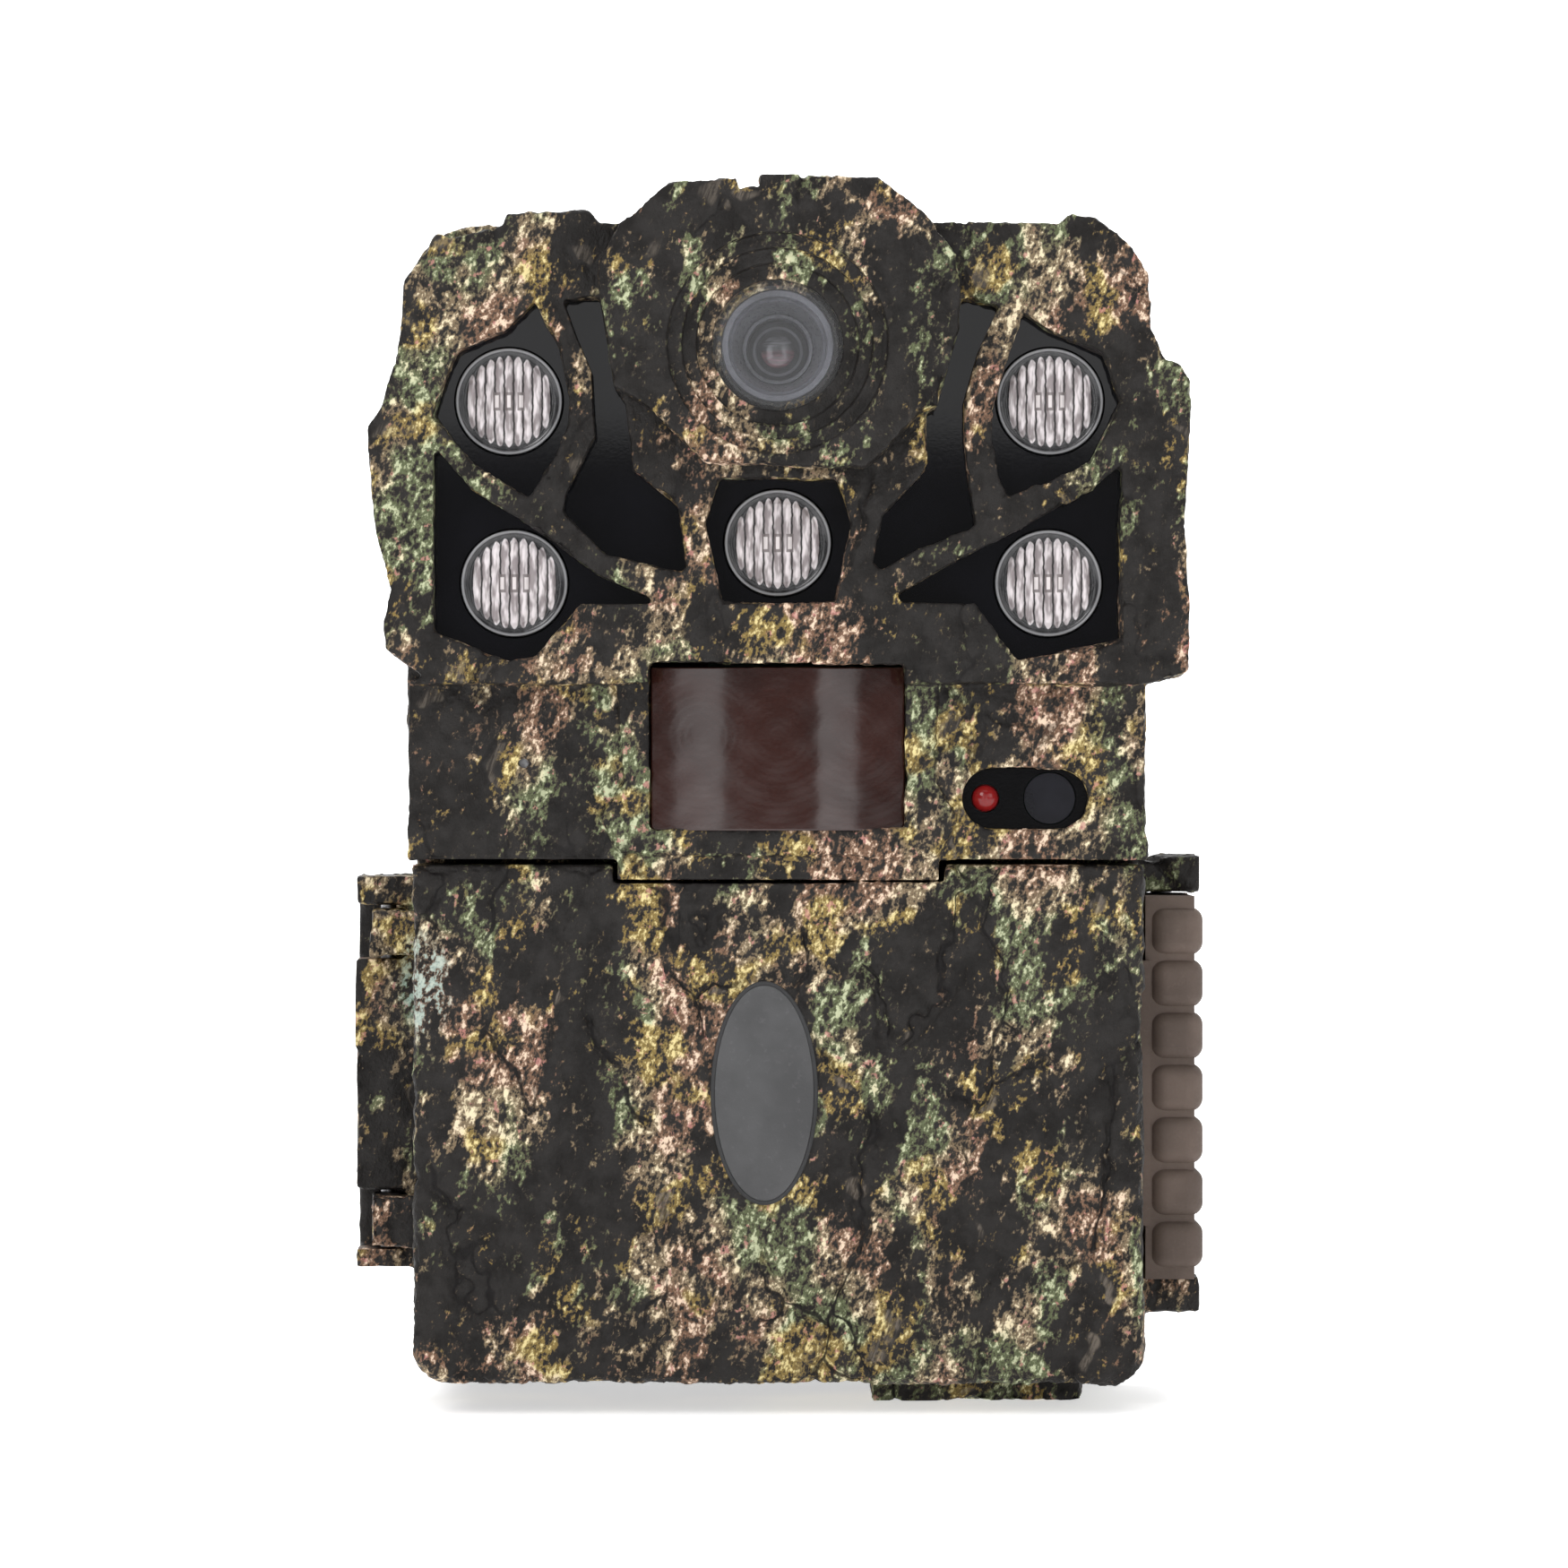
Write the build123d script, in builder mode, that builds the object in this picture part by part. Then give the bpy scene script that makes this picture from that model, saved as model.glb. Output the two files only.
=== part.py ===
"""Trail camera: a two-shell body with a latched lower door, a hooded lens, five infrared lamps
behind a dark window, a motion sensor, a bottom-loading battery tray and a strap bracket.

Frame: +Z up, the camera looks along -Y, +X is the viewer's right. The origin is under the middle
of the camera, on the plane it stands on. Millimetres."""

import os

from build123d import *

os.makedirs("parts", exist_ok=True)

# ---------------------------------------------------------------- overall sizes
body_w = 82.5        # across the housing's sides
door_h = 58.0        # height of the lower door
upper_h = 72.0       # front shell, from the seam above the door to the shoulders
front_d = 15.0       # depth of the door and of the front shell
rear_d = 46.0        # depth of the rear housing
hood_d = 9.0         # lens hood, ahead of the door's front
brim_d = 4.0         # window frame, ahead of the door's front
side_reach = 6.95    # hinge wing and latch, beyond the sides
boss_drop = 3.5      # tripod boss and feet, below the door's lower edge

# ---------------------------------------------------------------- walls and gaps
wall = 2.4           # housing and door
thin_wall = 1.6      # inner partitions
seam = 0.6           # between door and front shell
part_gap = 0.4       # between door and rear housing
slip = 0.3           # between moving plastic parts
pin_play = 0.05      # radial, hinge and latch pins in their moving bores
shoulder_r = 8.0     # upper corners of both shells
back_r = 2.4         # edges round the back
foot_r = 2.4         # lower edges of the housing
board_t = 1.4        # circuit boards

# ---------------------------------------------------------------- bought-in parts
cell_d = 14.5        # AA cell
cell_l = 50.5
cell_pitch = 15.2
cell_cols = 3
cell_rows = 2
contact_t = 1.4      # battery contact below and above a cell
insert_r = 4.5       # 1/4-20 brass insert, outside
insert_bore_r = 2.55
insert_l = 10.0
sd_w, sd_l, sd_t = 24.0, 32.0, 2.1
hinge_pin_r = 0.9
latch_pin_r = 1.25

# ---------------------------------------------------------------- optics
glass_r = 7.25       # cover glass in the hood
glass_t = 1.2
barrel_r = 6.2
spigot_r = 11.0      # hood's tail through the front shell
lamp_r = 6.0         # infrared lamp lens
lamp_fit = 0.15
window_t = 1.8       # dark infrared window
pir_w, pir_h = 28.5, 18.4
pir_bulge = 1.6

# ---------------------------------------------------------------- badge and latch grip
badge_w, badge_h, badge_t = 12.0, 25.0, 0.3
grip_ribs = 7
grip_rise = 0.9      # of the ribs, beyond the lever's body

# ---------------------------------------------------------------- strap bracket
strap_w = 26.0
bracket_gap = 4.6
bracket_t = 1.4
bracket_w = 62.0
lip_h = 8.0

# ---------------------------------------------------------------- planes and heights
total_d = hood_d + front_d + rear_d + bracket_gap + bracket_t
y_hood = -total_d / 2
y_front = y_hood + hood_d
y_brim = y_front - brim_d
y_part = y_front + front_d
y_back = y_part + rear_d
y_plate = y_back + bracket_gap
half_w = body_w / 2
reach = half_w + side_reach
door_z0 = boss_drop
door_z1 = door_z0 + door_h
shell_z0 = door_z1 + seam
shell_z1 = shell_z0 + upper_h
lens_z = shell_z0 + 57.0
inner_w = half_w - wall
casing_z1 = shell_z1 - 1.4    # the brim rises this far above the shells behind it
brow_z = shell_z0 + 21.5      # where the window frame starts above the motion sensor
y_window = y_brim + 4.4       # front face of the dark window
y_skin = y_front + wall       # inner face of the front wall


def block(x, y, z, mode=Mode.ADD):
    """A box between two limits along each axis, in the part being built."""
    with Locations((sum(x) / 2, sum(y) / 2, sum(z) / 2)):
        Box(x[1] - x[0], y[1] - y[0], z[1] - z[0], mode=mode)


def rod_y(radius, y, x=0.0, z=0.0, mode=Mode.ADD):
    """A round bar along Y between two limits."""
    with Locations(Location((x, sum(y) / 2, z), (90, 0, 0))):
        Cylinder(radius, y[1] - y[0], mode=mode)


def rod_x(radius, x, y, z, mode=Mode.ADD):
    """A round bar along X between two limits."""
    with Locations(Location((sum(x) / 2, y, z), (0, 90, 0))):
        Cylinder(radius, x[1] - x[0], mode=mode)


def rod_z(radius, x, y, z, mode=Mode.ADD):
    """A round bar along Z between two limits."""
    with Locations((x, y, sum(z) / 2)):
        Cylinder(radius, z[1] - z[0], mode=mode)


def front(y):
    """The plane at depth y that faces the viewer: sketch coordinates are x and z."""
    return Plane.XZ.offset(-y)


def prism(points, y, mode=Mode.ADD):
    """A polygon drawn in x and z, extruded between two depths."""
    with BuildSketch(front(y[0])) as outline:
        with BuildLine() as edge_line:
            Polyline(*points, close=True)
        make_face(edge_line.line)
    extrude(outline.sketch, amount=-(y[1] - y[0]), mode=mode)


def casing_slab(y, inset, z, mode=Mode.ADD):
    """A slab of the body's outline with rounded shoulders, drawn in from the sides by inset."""
    with BuildSketch(front(y[0])) as outline:
        with Locations((0, sum(z) / 2)):
            Rectangle(body_w - 2 * inset, z[1] - z[0])
        fillet(outline.vertices().group_by(Axis.Y)[-1], radius=shoulder_r - inset)
    extrude(outline.sketch, amount=-(y[1] - y[0]), mode=mode)


def save(builder, name):
    """Label a finished piece and write its file."""
    builder.part.label = name
    export_step(builder.part, f"parts/{name}.step")


# ================================================================ rear housing
# corners where the front shell is screwed on, from behind
case_screws = [(sx * (inner_w - 3.6), z) for sx in (-1, 1) for z in (shell_z0 + 17.0, shell_z1 - 8.5)]
case_boss_r = 3.4
case_shank_r = 1.5
case_head_r = 2.75
screw_bed = y_part + 6.0       # where the screw heads seat

# battery bay and tray, from the size of the cells
tray_wall = 1.3
bay_x0 = -inner_w
tray_x = (bay_x0 + slip, bay_x0 + slip + cell_pitch * (cell_cols - 1) + cell_d + 2 * (tray_wall + slip))
bay_x = (bay_x0, tray_x[1] + slip)
tray_d = cell_pitch * (cell_rows - 1) + cell_d + 2 * (tray_wall + slip)
bay_y = (y_back - wall - tray_d - 2 * slip, y_back - wall)
tray_y = (bay_y[0] + slip, bay_y[1] - slip)
tray_floor = 2.0
cell_z0 = door_z0 + tray_floor + contact_t
tray_top = cell_z0 + cell_l + contact_t + tray_wall
bay_top = tray_top + slip

# tripod boss and its insert
boss_x = (bay_x[1] + 1.0, bay_x[1] + 25.0)
boss_y = (y_part + 2.0, y_part + 22.0)
tripod_x = sum(boss_x) / 2
tripod_y = sum(boss_y) / 2
boss_set = 0.3

# hinge wing and pin
pin_x = -half_w - 3.35
pin_y = y_part + 3.8
wing_z = (door_z0 + 12.0, door_z0 + 56.5)
wing_y = (y_part, y_part + 12.0)
knuckle_r = 1.9
knuckle_gap = 0.4
knuckle_z = [(wing_z[0] + 2.0, wing_z[0] + 8.7), (wing_z[1] - 9.4, wing_z[1] - 3.3)]

# latch lugs and pin
latch_x = half_w + 3.5
latch_y = y_part + 18.0
lug_h = 3.8
lug_z = [(door_z0 + 6.7, door_z0 + 6.7 + lug_h), (door_z1 - 3.3, door_z1 - 3.3 + lug_h)]

# board posts and the power jack
board_y = y_part + 5.0
board_x = inner_w - 8.0
board_z = (shell_z0 + 3.0, shell_z1 - 4.5)
post_r = 2.6
posts = [(sx * (board_x - 4.0), z) for sx in (-1, 1) for z in (board_z[0] + 12.0, board_z[1] - 5.0)]
post_hole_r = 1.0
jack_y = y_part + 22.0
jack_z = shell_z0 + 4.8
jack_hole_r = 3.3

# gasket groove round the lower opening
seal_w = 1.2
seal_d = 1.0
seal_x = half_w - wall / 2 + seal_w / 2
seal_z = (door_z0 + wall / 2 - seal_w / 2, door_z1 - 0.5)

bracket_half = strap_w / 2 + 1.0
bracket_z = bay_top + thin_wall + lip_h + bracket_t + bracket_half + 1.0
bracket_holes = [(sx * (bracket_w / 2 - 7.0), bracket_z + sz * (bracket_half + lip_h / 2 + bracket_t))
                 for sx in (-1, 1) for sz in (-1, 1)]
bracket_screw_r = 1.4

with BuildPart() as rear_housing:
    casing_slab((y_part, y_back), 0, (door_z0, casing_z1))
    fillet(rear_housing.edges().filter_by(Axis.Y).group_by(Axis.Z)[0], radius=foot_r)
    fillet(rear_housing.faces().sort_by(Axis.Y)[-1].edges(), radius=back_r)
    casing_slab((y_part, y_back - wall), wall, (door_z0 + wall, casing_z1 - wall), Mode.SUBTRACT)
    # sill above the lower opening, which carries the gasket and the control panel
    block((-inner_w, inner_w), (y_part, y_part + 4.0), (door_z1 - 2.4, shell_z0), Mode.ADD)
    for px, pz in case_screws:
        rod_y(case_boss_r, (y_part, y_back - wall / 2), px, pz)
    for px, pz in posts:
        rod_y(post_r, (board_y + board_t, y_back - wall / 2), px, pz)
    # battery bay: right, front and top partitions
    block((bay_x[1], bay_x[1] + thin_wall), (bay_y[0] - thin_wall, bay_y[1] + wall / 2),
          (door_z0, bay_top + thin_wall))
    block((bay_x[0] - wall / 2, bay_x[1]), (bay_y[0] - thin_wall, bay_y[0]), (door_z0, bay_top + thin_wall))
    block((bay_x[0] - wall / 2, bay_x[1]), (bay_y[0], bay_y[1] + wall / 2), (bay_top, bay_top + thin_wall))
    block(bay_x, bay_y, (door_z0 - 1, bay_top), Mode.SUBTRACT)
    # tripod boss, its tower, and the two rear feet
    block(boss_x, boss_y, (0, door_z0 + wall))
    rod_z(insert_r + 2.0, tripod_x, tripod_y, (0.5, boss_set + insert_l + 2.0))
    rod_z(insert_r, tripod_x, tripod_y, (-1, boss_set + insert_l), Mode.SUBTRACT)
    for side in (-1, 1):
        block((side * half_w * 0.78 - 5.0, side * half_w * 0.78 + 5.0), (y_back - wall + 0.2, y_back),
              (0, door_z0 + 1.0))
    # hinge wing with a window for each knuckle
    block((-reach, -half_w + 1.0), wing_y, wing_z)
    for z0, z1 in knuckle_z:
        block((-reach - 1, -half_w - 0.9), (wing_y[0] - 1, pin_y + 3.3), (z0, z1), Mode.SUBTRACT)
    rod_z(hinge_pin_r, pin_x, pin_y, wing_z, Mode.SUBTRACT)
    # latch lugs
    for z0, z1 in lug_z:
        block((half_w - 1.0, reach), (y_part + 2.0, latch_y + 4.0), (z0, z1))
    rod_z(latch_pin_r, latch_x, latch_y, (lug_z[0][0], lug_z[1][1]), Mode.SUBTRACT)
    # grip pads on the sides
    block((half_w - 0.5, half_w + 0.9), (y_part, y_part + 14.0), (shell_z0 + 13.0, shell_z0 + 18.3))
    block((-half_w - 0.9, -half_w + 0.5), (y_part, y_part + 14.0), (shell_z0 + 9.0, shell_z0 + 17.8))
    # screw holes, jack opening and gasket groove
    for px, pz in case_screws:
        rod_y(case_shank_r, (y_part - 1, y_back), px, pz, Mode.SUBTRACT)
        rod_y(case_head_r + 0.2, (screw_bed, y_back + 1), px, pz, Mode.SUBTRACT)
    for px, pz in posts:
        rod_y(post_hole_r, (board_y, board_y + 10.0), px, pz, Mode.SUBTRACT)
    for px, pz in bracket_holes:
        rod_y(case_boss_r, (y_back - wall - 5.0, y_back - wall / 2), px, pz)
        rod_y(bracket_screw_r, (y_back - 6.0, y_back + 1), px, pz, Mode.SUBTRACT)
    rod_x(jack_hole_r, (inner_w - 1, half_w + 1), jack_y, jack_z, Mode.SUBTRACT)
    with BuildSketch(front(y_part)):
        with Locations((0, sum(seal_z) / 2)):
            Rectangle(2 * seal_x, seal_z[1] - seal_z[0])
            Rectangle(2 * (seal_x - seal_w), seal_z[1] - seal_z[0] - 2 * seal_w, mode=Mode.SUBTRACT)
    extrude(amount=-seal_d, mode=Mode.SUBTRACT)
save(rear_housing, "rear_housing")

with BuildPart() as gasket:
    with BuildSketch(front(y_part - 0.3)):
        with Locations((0, sum(seal_z) / 2)):
            Rectangle(2 * seal_x, seal_z[1] - seal_z[0])
            Rectangle(2 * (seal_x - seal_w), seal_z[1] - seal_z[0] - 2 * seal_w, mode=Mode.SUBTRACT)
    extrude(amount=-(seal_d + 0.3))
save(gasket, "door_gasket")

with BuildPart() as tripod_insert:
    rod_z(insert_r, tripod_x, tripod_y, (boss_set, boss_set + insert_l))
    rod_z(insert_bore_r, tripod_x, tripod_y, (boss_set - 1, boss_set + insert_l - 1.0), Mode.SUBTRACT)
save(tripod_insert, "tripod_insert")

with BuildPart() as case_screw_set:
    for px, pz in case_screws:
        rod_y(case_head_r, (screw_bed, screw_bed + 2.0), px, pz)
        rod_y(case_shank_r, (y_part - 8.0, screw_bed), px, pz)
        rod_y(1.3, (screw_bed + 1.0, screw_bed + 3.0), px, pz, Mode.SUBTRACT)
save(case_screw_set, "case_screws")

# ================================================================ front shell
# outline of the bark-like brim, clockwise from the lower left
brim_left = [
    (-half_w, 0), (-half_w, 19.6), (-half_w + 2.0, 20.3), (-half_w - 2.2, 23.4), (-half_w - 2.5, 26.3),
    (-half_w - 1.6, 30.1), (-half_w - 3.4, 36.3), (-half_w - 4.2, 45.8), (-half_w - 4.3, 48.0),
    (-half_w - 2.7, 50.3), (-half_w - 0.8, 56.4), (-half_w - 0.5, 60.5), (-half_w - 0.2, 64.1),
    (-half_w + 3.6, 69.4), (-half_w + 5.0, 68.8), (-half_w + 10.8, 70.3), (-half_w + 11.2, upper_h - 0.3),
    (-half_w + 20.2, upper_h), (-half_w + 21.4, upper_h - 1.4),
]
brim_right = [
    (half_w - 22.0, upper_h - 1.2), (half_w - 10.0, upper_h - 1.4), (half_w - 8.7, upper_h - 0.4),
    (half_w - 6.1, upper_h - 0.7), (half_w - 2.4, 68.7), (half_w - 0.1, 65.1), (half_w + 0.2, 59.1),
    (half_w + 1.8, 55.5), (half_w + 3.5, 55.0), (half_w + 4.6, 53.2), (half_w + 4.4, 47.6),
    (half_w + 3.8, 38.3), (half_w + 4.3, 34.1), (half_w + 4.6, 23.6), (half_w + 4.2, 20.6),
    (half_w, 19.6), (half_w, 0),
]
brim_depth = 11.0

# window openings between the branches; x is from the centre line, z from the seam
edge = half_w - 3.0
cells = {
    "upper_left": [(-edge, 49.3), (-edge + 1.0, 52.5), (-edge + 2.6, 56.5), (-30.0, 59.0), (-27.0, 62.1),
                   (-24.5, 57.1), (-23.3, 51.3), (-23.5, 48.3), (-25.0, 44.6), (-27.4, 40.3), (-28.0, 40.3),
                   (-34.0, 44.0)],
    "mid_left": [(-23.8, 62.1), (-19.8, 62.3), (-18.8, 56.5), (-18.2, 52.5), (-16.9, 50.6), (-16.0, 43.3),
                 (-11.2, 39.3), (-10.2, 32.5), (-10.9, 32.0), (-19.2, 34.1), (-23.8, 38.7), (-23.5, 40.7),
                 (-20.3, 47.0), (-20.7, 54.2), (-22.5, 58.5)],
    "lower_left": [(-edge, 46.0), (-34.0, 41.2), (-28.7, 38.0), (-20.2, 31.7), (-12.6, 28.4), (-21.8, 28.4),
                   (-27.0, 22.4), (-30.0, 22.0), (-edge, 25.3)],
    "mid_right": [(20.5, 62.4), (24.6, 61.5), (22.3, 56.5), (20.7, 50.9), (20.7, 46.6), (21.2, 42.0),
                  (22.0, 37.0), (15.7, 34.5), (11.4, 32.1), (10.5, 32.8), (11.5, 38.3), (15.7, 42.6),
                  (16.5, 44.0), (16.5, 49.6), (17.7, 50.3), (19.2, 56.5)],
    "upper_right": [(27.2, 60.8), (30.8, 58.5), (edge - 2.0, 56.3), (edge, 50.9), (34.8, 44.0), (25.6, 40.3),
                    (24.6, 42.3), (23.8, 46.6), (23.8, 49.9), (25.3, 55.2)],
    "lower_right": [(edge, 44.0), (edge, 24.4), (35.5, 23.6), (26.6, 22.3), (24.0, 25.6), (22.0, 28.4),
                    (13.7, 28.6), (13.4, 29.5), (20.3, 33.5), (26.9, 36.7), (35.5, 41.7)],
    "centre": [(-6.5, 42.4), (6.6, 42.4), (8.2, 37.4), (6.4, 28.6), (-6.1, 28.5), (-8.0, 37.4)],
}


lamps = [(-30.0, shell_z0 + 51.1), (30.4, shell_z0 + 51.1), (-29.4, shell_z0 + 30.8),
         (30.2, shell_z0 + 30.8), (0.0, shell_z0 + 35.3)]
lamp_front = y_window - 0.5


def raised(points):
    """Points given from the seam, lifted to their height."""
    return [(x, shell_z0 + z) for x, z in points]


# small openings of the lower band
pir_z = shell_z0 + 12.6
eye_x = 27.7
eye_z = shell_z0 + 6.8
eye_w, eye_h = 14.2, 6.8
led_x = eye_x - 4.5
cell_x = eye_x + 2.7
mic_x, mic_z = -28.4, shell_z0 + 10.7
tab_w = 35.8
tab_drop = 2.3
tab_t = 2.4
boss_face = y_part - 9.5       # front end of the case-screw bosses

with BuildPart() as front_shell:
    prism(raised(brim_left + brim_right), (y_brim, y_brim + brim_depth))
    block((-half_w - 5, half_w + 5), (y_brim - 1, y_front), (shell_z0 - 1, brow_z - 2.0), Mode.SUBTRACT)
    casing_slab((y_front, y_part), 0, (shell_z0, casing_z1))
    # brow over the motion sensor, and the sensor's raised surround
    prism(raised([(-17.6, 0.4), (-20.0, 4.5), (-17.4, 8.5), (-18.0, 21.8), (18.0, 21.8), (17.4, 8.5),
                  (20.0, 4.5), (17.6, 0.4)]), (y_front - 0.9, y_front + 0.5))
    # cavity behind the window, and a shallower one behind the lower band
    casing_slab((y_window, y_part), wall, (brow_z - 1.0, casing_z1 - wall), Mode.SUBTRACT)
    block((-inner_w, inner_w), (y_skin, y_part), (shell_z0 + wall, brow_z), Mode.SUBTRACT)
    # lower tab that hangs over the door
    block((-tab_w / 2, tab_w / 2), (y_front, y_front + tab_t), (shell_z0 - tab_drop, shell_z0 + 1.0))
    for px, pz in case_screws:
        rod_y(case_boss_r, (boss_face, y_part), px, pz)
        block((min(px, px * 1.12), max(px, px * 1.12)), (boss_face, y_part), (pz - 1.2, pz + 1.2))
        rod_y(case_shank_r, (y_part - 8.0, y_part + 1), px, pz, Mode.SUBTRACT)
    for outline in cells.values():
        prism(raised(outline), (y_brim - 1, y_window + 0.5), Mode.SUBTRACT)
    rod_y(spigot_r + 0.1, (y_brim - 1, y_window + window_t + slip), 0, lens_z, Mode.SUBTRACT)
    # the branches are hollowed out behind, where they cross a lamp lens
    for px, pz in lamps:
        rod_y(lamp_r + lamp_fit, (lamp_front - lamp_fit, y_window + 0.5), px, pz, Mode.SUBTRACT)
    # motion sensor, eye slot and microphone openings
    block((-pir_w / 2, pir_w / 2), (y_brim - 1, y_skin + 1), (pir_z - pir_h / 2, pir_z + pir_h / 2),
          Mode.SUBTRACT)
    with BuildSketch(front(y_front - 2)):
        with Locations((eye_x, eye_z)):
            SlotOverall(eye_w, eye_h)
    extrude(amount=-6, mode=Mode.SUBTRACT)
    rod_y(0.6, (y_front - 2, y_skin + 1), mic_x, mic_z, Mode.SUBTRACT)
save(front_shell, "front_shell")

# ================================================================ dark window and lamps
window_z = (brow_z - 0.8, lens_z + 6.5)

with BuildPart() as ir_window:
    block((-inner_w + 0.3, inner_w - 0.3), (y_window, y_window + window_t), window_z)
    block((-17.5, 17.5), (y_window - 1, y_window + window_t + 1), (window_z[0] - 1, shell_z0 + 24.5),
          Mode.SUBTRACT)
    for px, pz in case_screws:
        rod_y(case_boss_r + 0.4, (y_window - 1, y_window + window_t + 1), px, pz, Mode.SUBTRACT)
    rod_y(spigot_r + 0.3, (y_window - 1, y_window + window_t + 1), 0, lens_z, Mode.SUBTRACT)
    for px, pz in lamps:
        rod_y(lamp_r + lamp_fit, (y_window - 1, y_window + window_t + 1), px, pz, Mode.SUBTRACT)
save(ir_window, "ir_window")

lamp_flange_y = (y_window + window_t, y_window + window_t + 1.0)
lamp_back = lamp_flange_y[1] + 0.6
rib_pitch = 1.07
rib_count = 9
for number, (px, pz) in enumerate(lamps, start=1):
    with BuildPart() as lamp_lens:
        rod_y(lamp_r, (lamp_front, lamp_back), px, pz)
        rod_y(lamp_r + 1.0, lamp_flange_y, px, pz)
        with Locations((px, lamp_front, pz)):
            with GridLocations(rib_pitch, 0, rib_count, 1):
                Box(rib_pitch * 0.45, 0.7, 2 * lamp_r - 3.4, mode=Mode.SUBTRACT)
    save(lamp_lens, f"ir_lens_{number}")

led_board_y = lamp_back + 1.4
led_board_top = shell_z1 - 8.5 - case_boss_r - 0.6
with BuildPart() as ir_led_board:
    block((-inner_w + 1.0, inner_w - 1.0), (led_board_y, led_board_y + board_t),
          (shell_z0 + 24.0, led_board_top))
    rod_y(barrel_r + 0.8, (led_board_y - 1, led_board_y + board_t + 1), 0, lens_z, Mode.SUBTRACT)
save(ir_led_board, "ir_led_board")

with BuildPart() as ir_emitters:
    for px, pz in lamps:
        block((px - 2.6, px + 2.6), (led_board_y - 0.9, led_board_y), (pz - 1.6, pz + 1.6))
save(ir_emitters, "ir_emitters")

# ================================================================ lens
hood_outline = [
    (-17.4, 13.1), (-11.9, 17.6), (-4.6, 18.2), (-4.3, 16.9), (-2.0, 17.1), (-1.8, 18.6), (11.0, 18.4),
    (16.2, 14.5), (19.8, 9.8), (20.1, 6.0), (19.9, 1.7), (17.6, -6.9), (15.6, -7.6), (9.6, -13.6),
    (-7.8, -13.2), (-13.9, -7.2), (-18.2, -4.6), (-19.6, 5.2), (-19.7, 8.7),
]
ring_steps = [(12.2, 1.0), (10.6, 2.0), (9.0, 3.0)]     # radius and depth of each step
y_glass = y_hood + 3.6

with BuildPart() as lens_hood:
    prism([(x, lens_z + z) for x, z in hood_outline], (y_hood, y_brim))
    rod_y(spigot_r, (y_brim, y_window + window_t), 0, lens_z)
    for radius, depth in ring_steps:
        rod_y(radius, (y_hood - 1, y_hood + depth), 0, lens_z, Mode.SUBTRACT)
    rod_y(glass_r, (y_hood - 1, y_glass + glass_t), 0, lens_z, Mode.SUBTRACT)
    rod_y(barrel_r + 0.1, (y_hood, y_window + window_t + 1), 0, lens_z, Mode.SUBTRACT)
save(lens_hood, "lens_hood")

with BuildPart() as lens_window:
    rod_y(glass_r, (y_glass, y_glass + glass_t), 0, lens_z)
save(lens_window, "lens_window")

mount_y = (led_board_y + board_t + 1.5, y_part - 0.1)
element_y = (y_glass + 10.2, y_glass + 12.4)
with BuildPart() as lens_barrel:
    rod_y(barrel_r, (y_glass + glass_t + 0.2, mount_y[0]), 0, lens_z)
    with BuildSketch(front(y_glass + glass_t + 0.2)):
        with Locations((0, lens_z)):
            Circle(barrel_r - 0.7)
    with BuildSketch(front(element_y[0])):
        with Locations((0, lens_z)):
            Circle(3.45)
    loft(mode=Mode.SUBTRACT)
    rod_y(3.45, (element_y[0], element_y[1]), 0, lens_z, Mode.SUBTRACT)
    rod_y(2.6, (element_y[1], mount_y[0]), 0, lens_z, Mode.SUBTRACT)
save(lens_barrel, "lens_barrel")

with BuildPart() as front_element:
    rod_y(3.45, element_y, 0, lens_z)
save(front_element, "lens_element")

filter_w, filter_h, filter_t = 11.0, 9.0, 0.6
filter_travel = 5.5
filter_y = mount_y[0] + 2.0
with BuildPart() as lens_mount:
    block((-10.2, 10.2), mount_y, (lens_z - 7.0, lens_z + 7.0))
    rod_y(2.6, (mount_y[0] - 1, filter_y), 0, lens_z, Mode.SUBTRACT)
    block((-filter_travel - 3.2, filter_travel + 3.2), (filter_y - slip, filter_y + filter_t + slip),
          (lens_z - filter_h / 2 - slip, lens_z + filter_h / 2 + slip), Mode.SUBTRACT)
    block((-5.0, 5.0), (filter_y, mount_y[1] + 1), (lens_z - 4.0, lens_z + 4.0), Mode.SUBTRACT)
save(lens_mount, "lens_mount")

with BuildPart() as ir_cut_filter:
    block((filter_w / 4 - filter_w, filter_w / 4), (filter_y, filter_y + filter_t),
          (lens_z - filter_h / 2, lens_z + filter_h / 2))
save(ir_cut_filter, "ir_cut_filter")

with BuildPart() as image_board:
    block((-13.0, 13.0), (mount_y[1], mount_y[1] + board_t), (lens_z - 10.0, lens_z + 9.5))
save(image_board, "image_sensor_board")

with BuildPart() as image_sensor:
    block((-3.6, 3.6), (mount_y[1] - 1.0, mount_y[1]), (lens_z - 2.9, lens_z + 2.9))
save(image_sensor, "image_sensor")

with BuildPart() as main_board:
    block((-board_x, board_x), (board_y, board_y + board_t), board_z)
    for px, pz in posts:
        rod_y(post_hole_r, (board_y - 1, board_y + board_t + 1), px, pz, Mode.SUBTRACT)
save(main_board, "main_board")

with BuildPart() as board_chips:
    block((-6.0, 6.0), (mount_y[1] + board_t, board_y), (lens_z - 2.0, lens_z + 2.0))
    block((-20.0, -8.0), (board_y - 1.2, board_y), (shell_z0 + 20.0, shell_z0 + 32.0))
    block((4.0, 13.0), (board_y - 1.0, board_y), (shell_z0 + 22.0, shell_z0 + 29.0))
    block((-4.0, 24.0), (board_y + board_t, board_y + board_t + 2.0), (shell_z0 + 36.0, shell_z0 + 44.0))
save(board_chips, "main_board_components")

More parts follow.
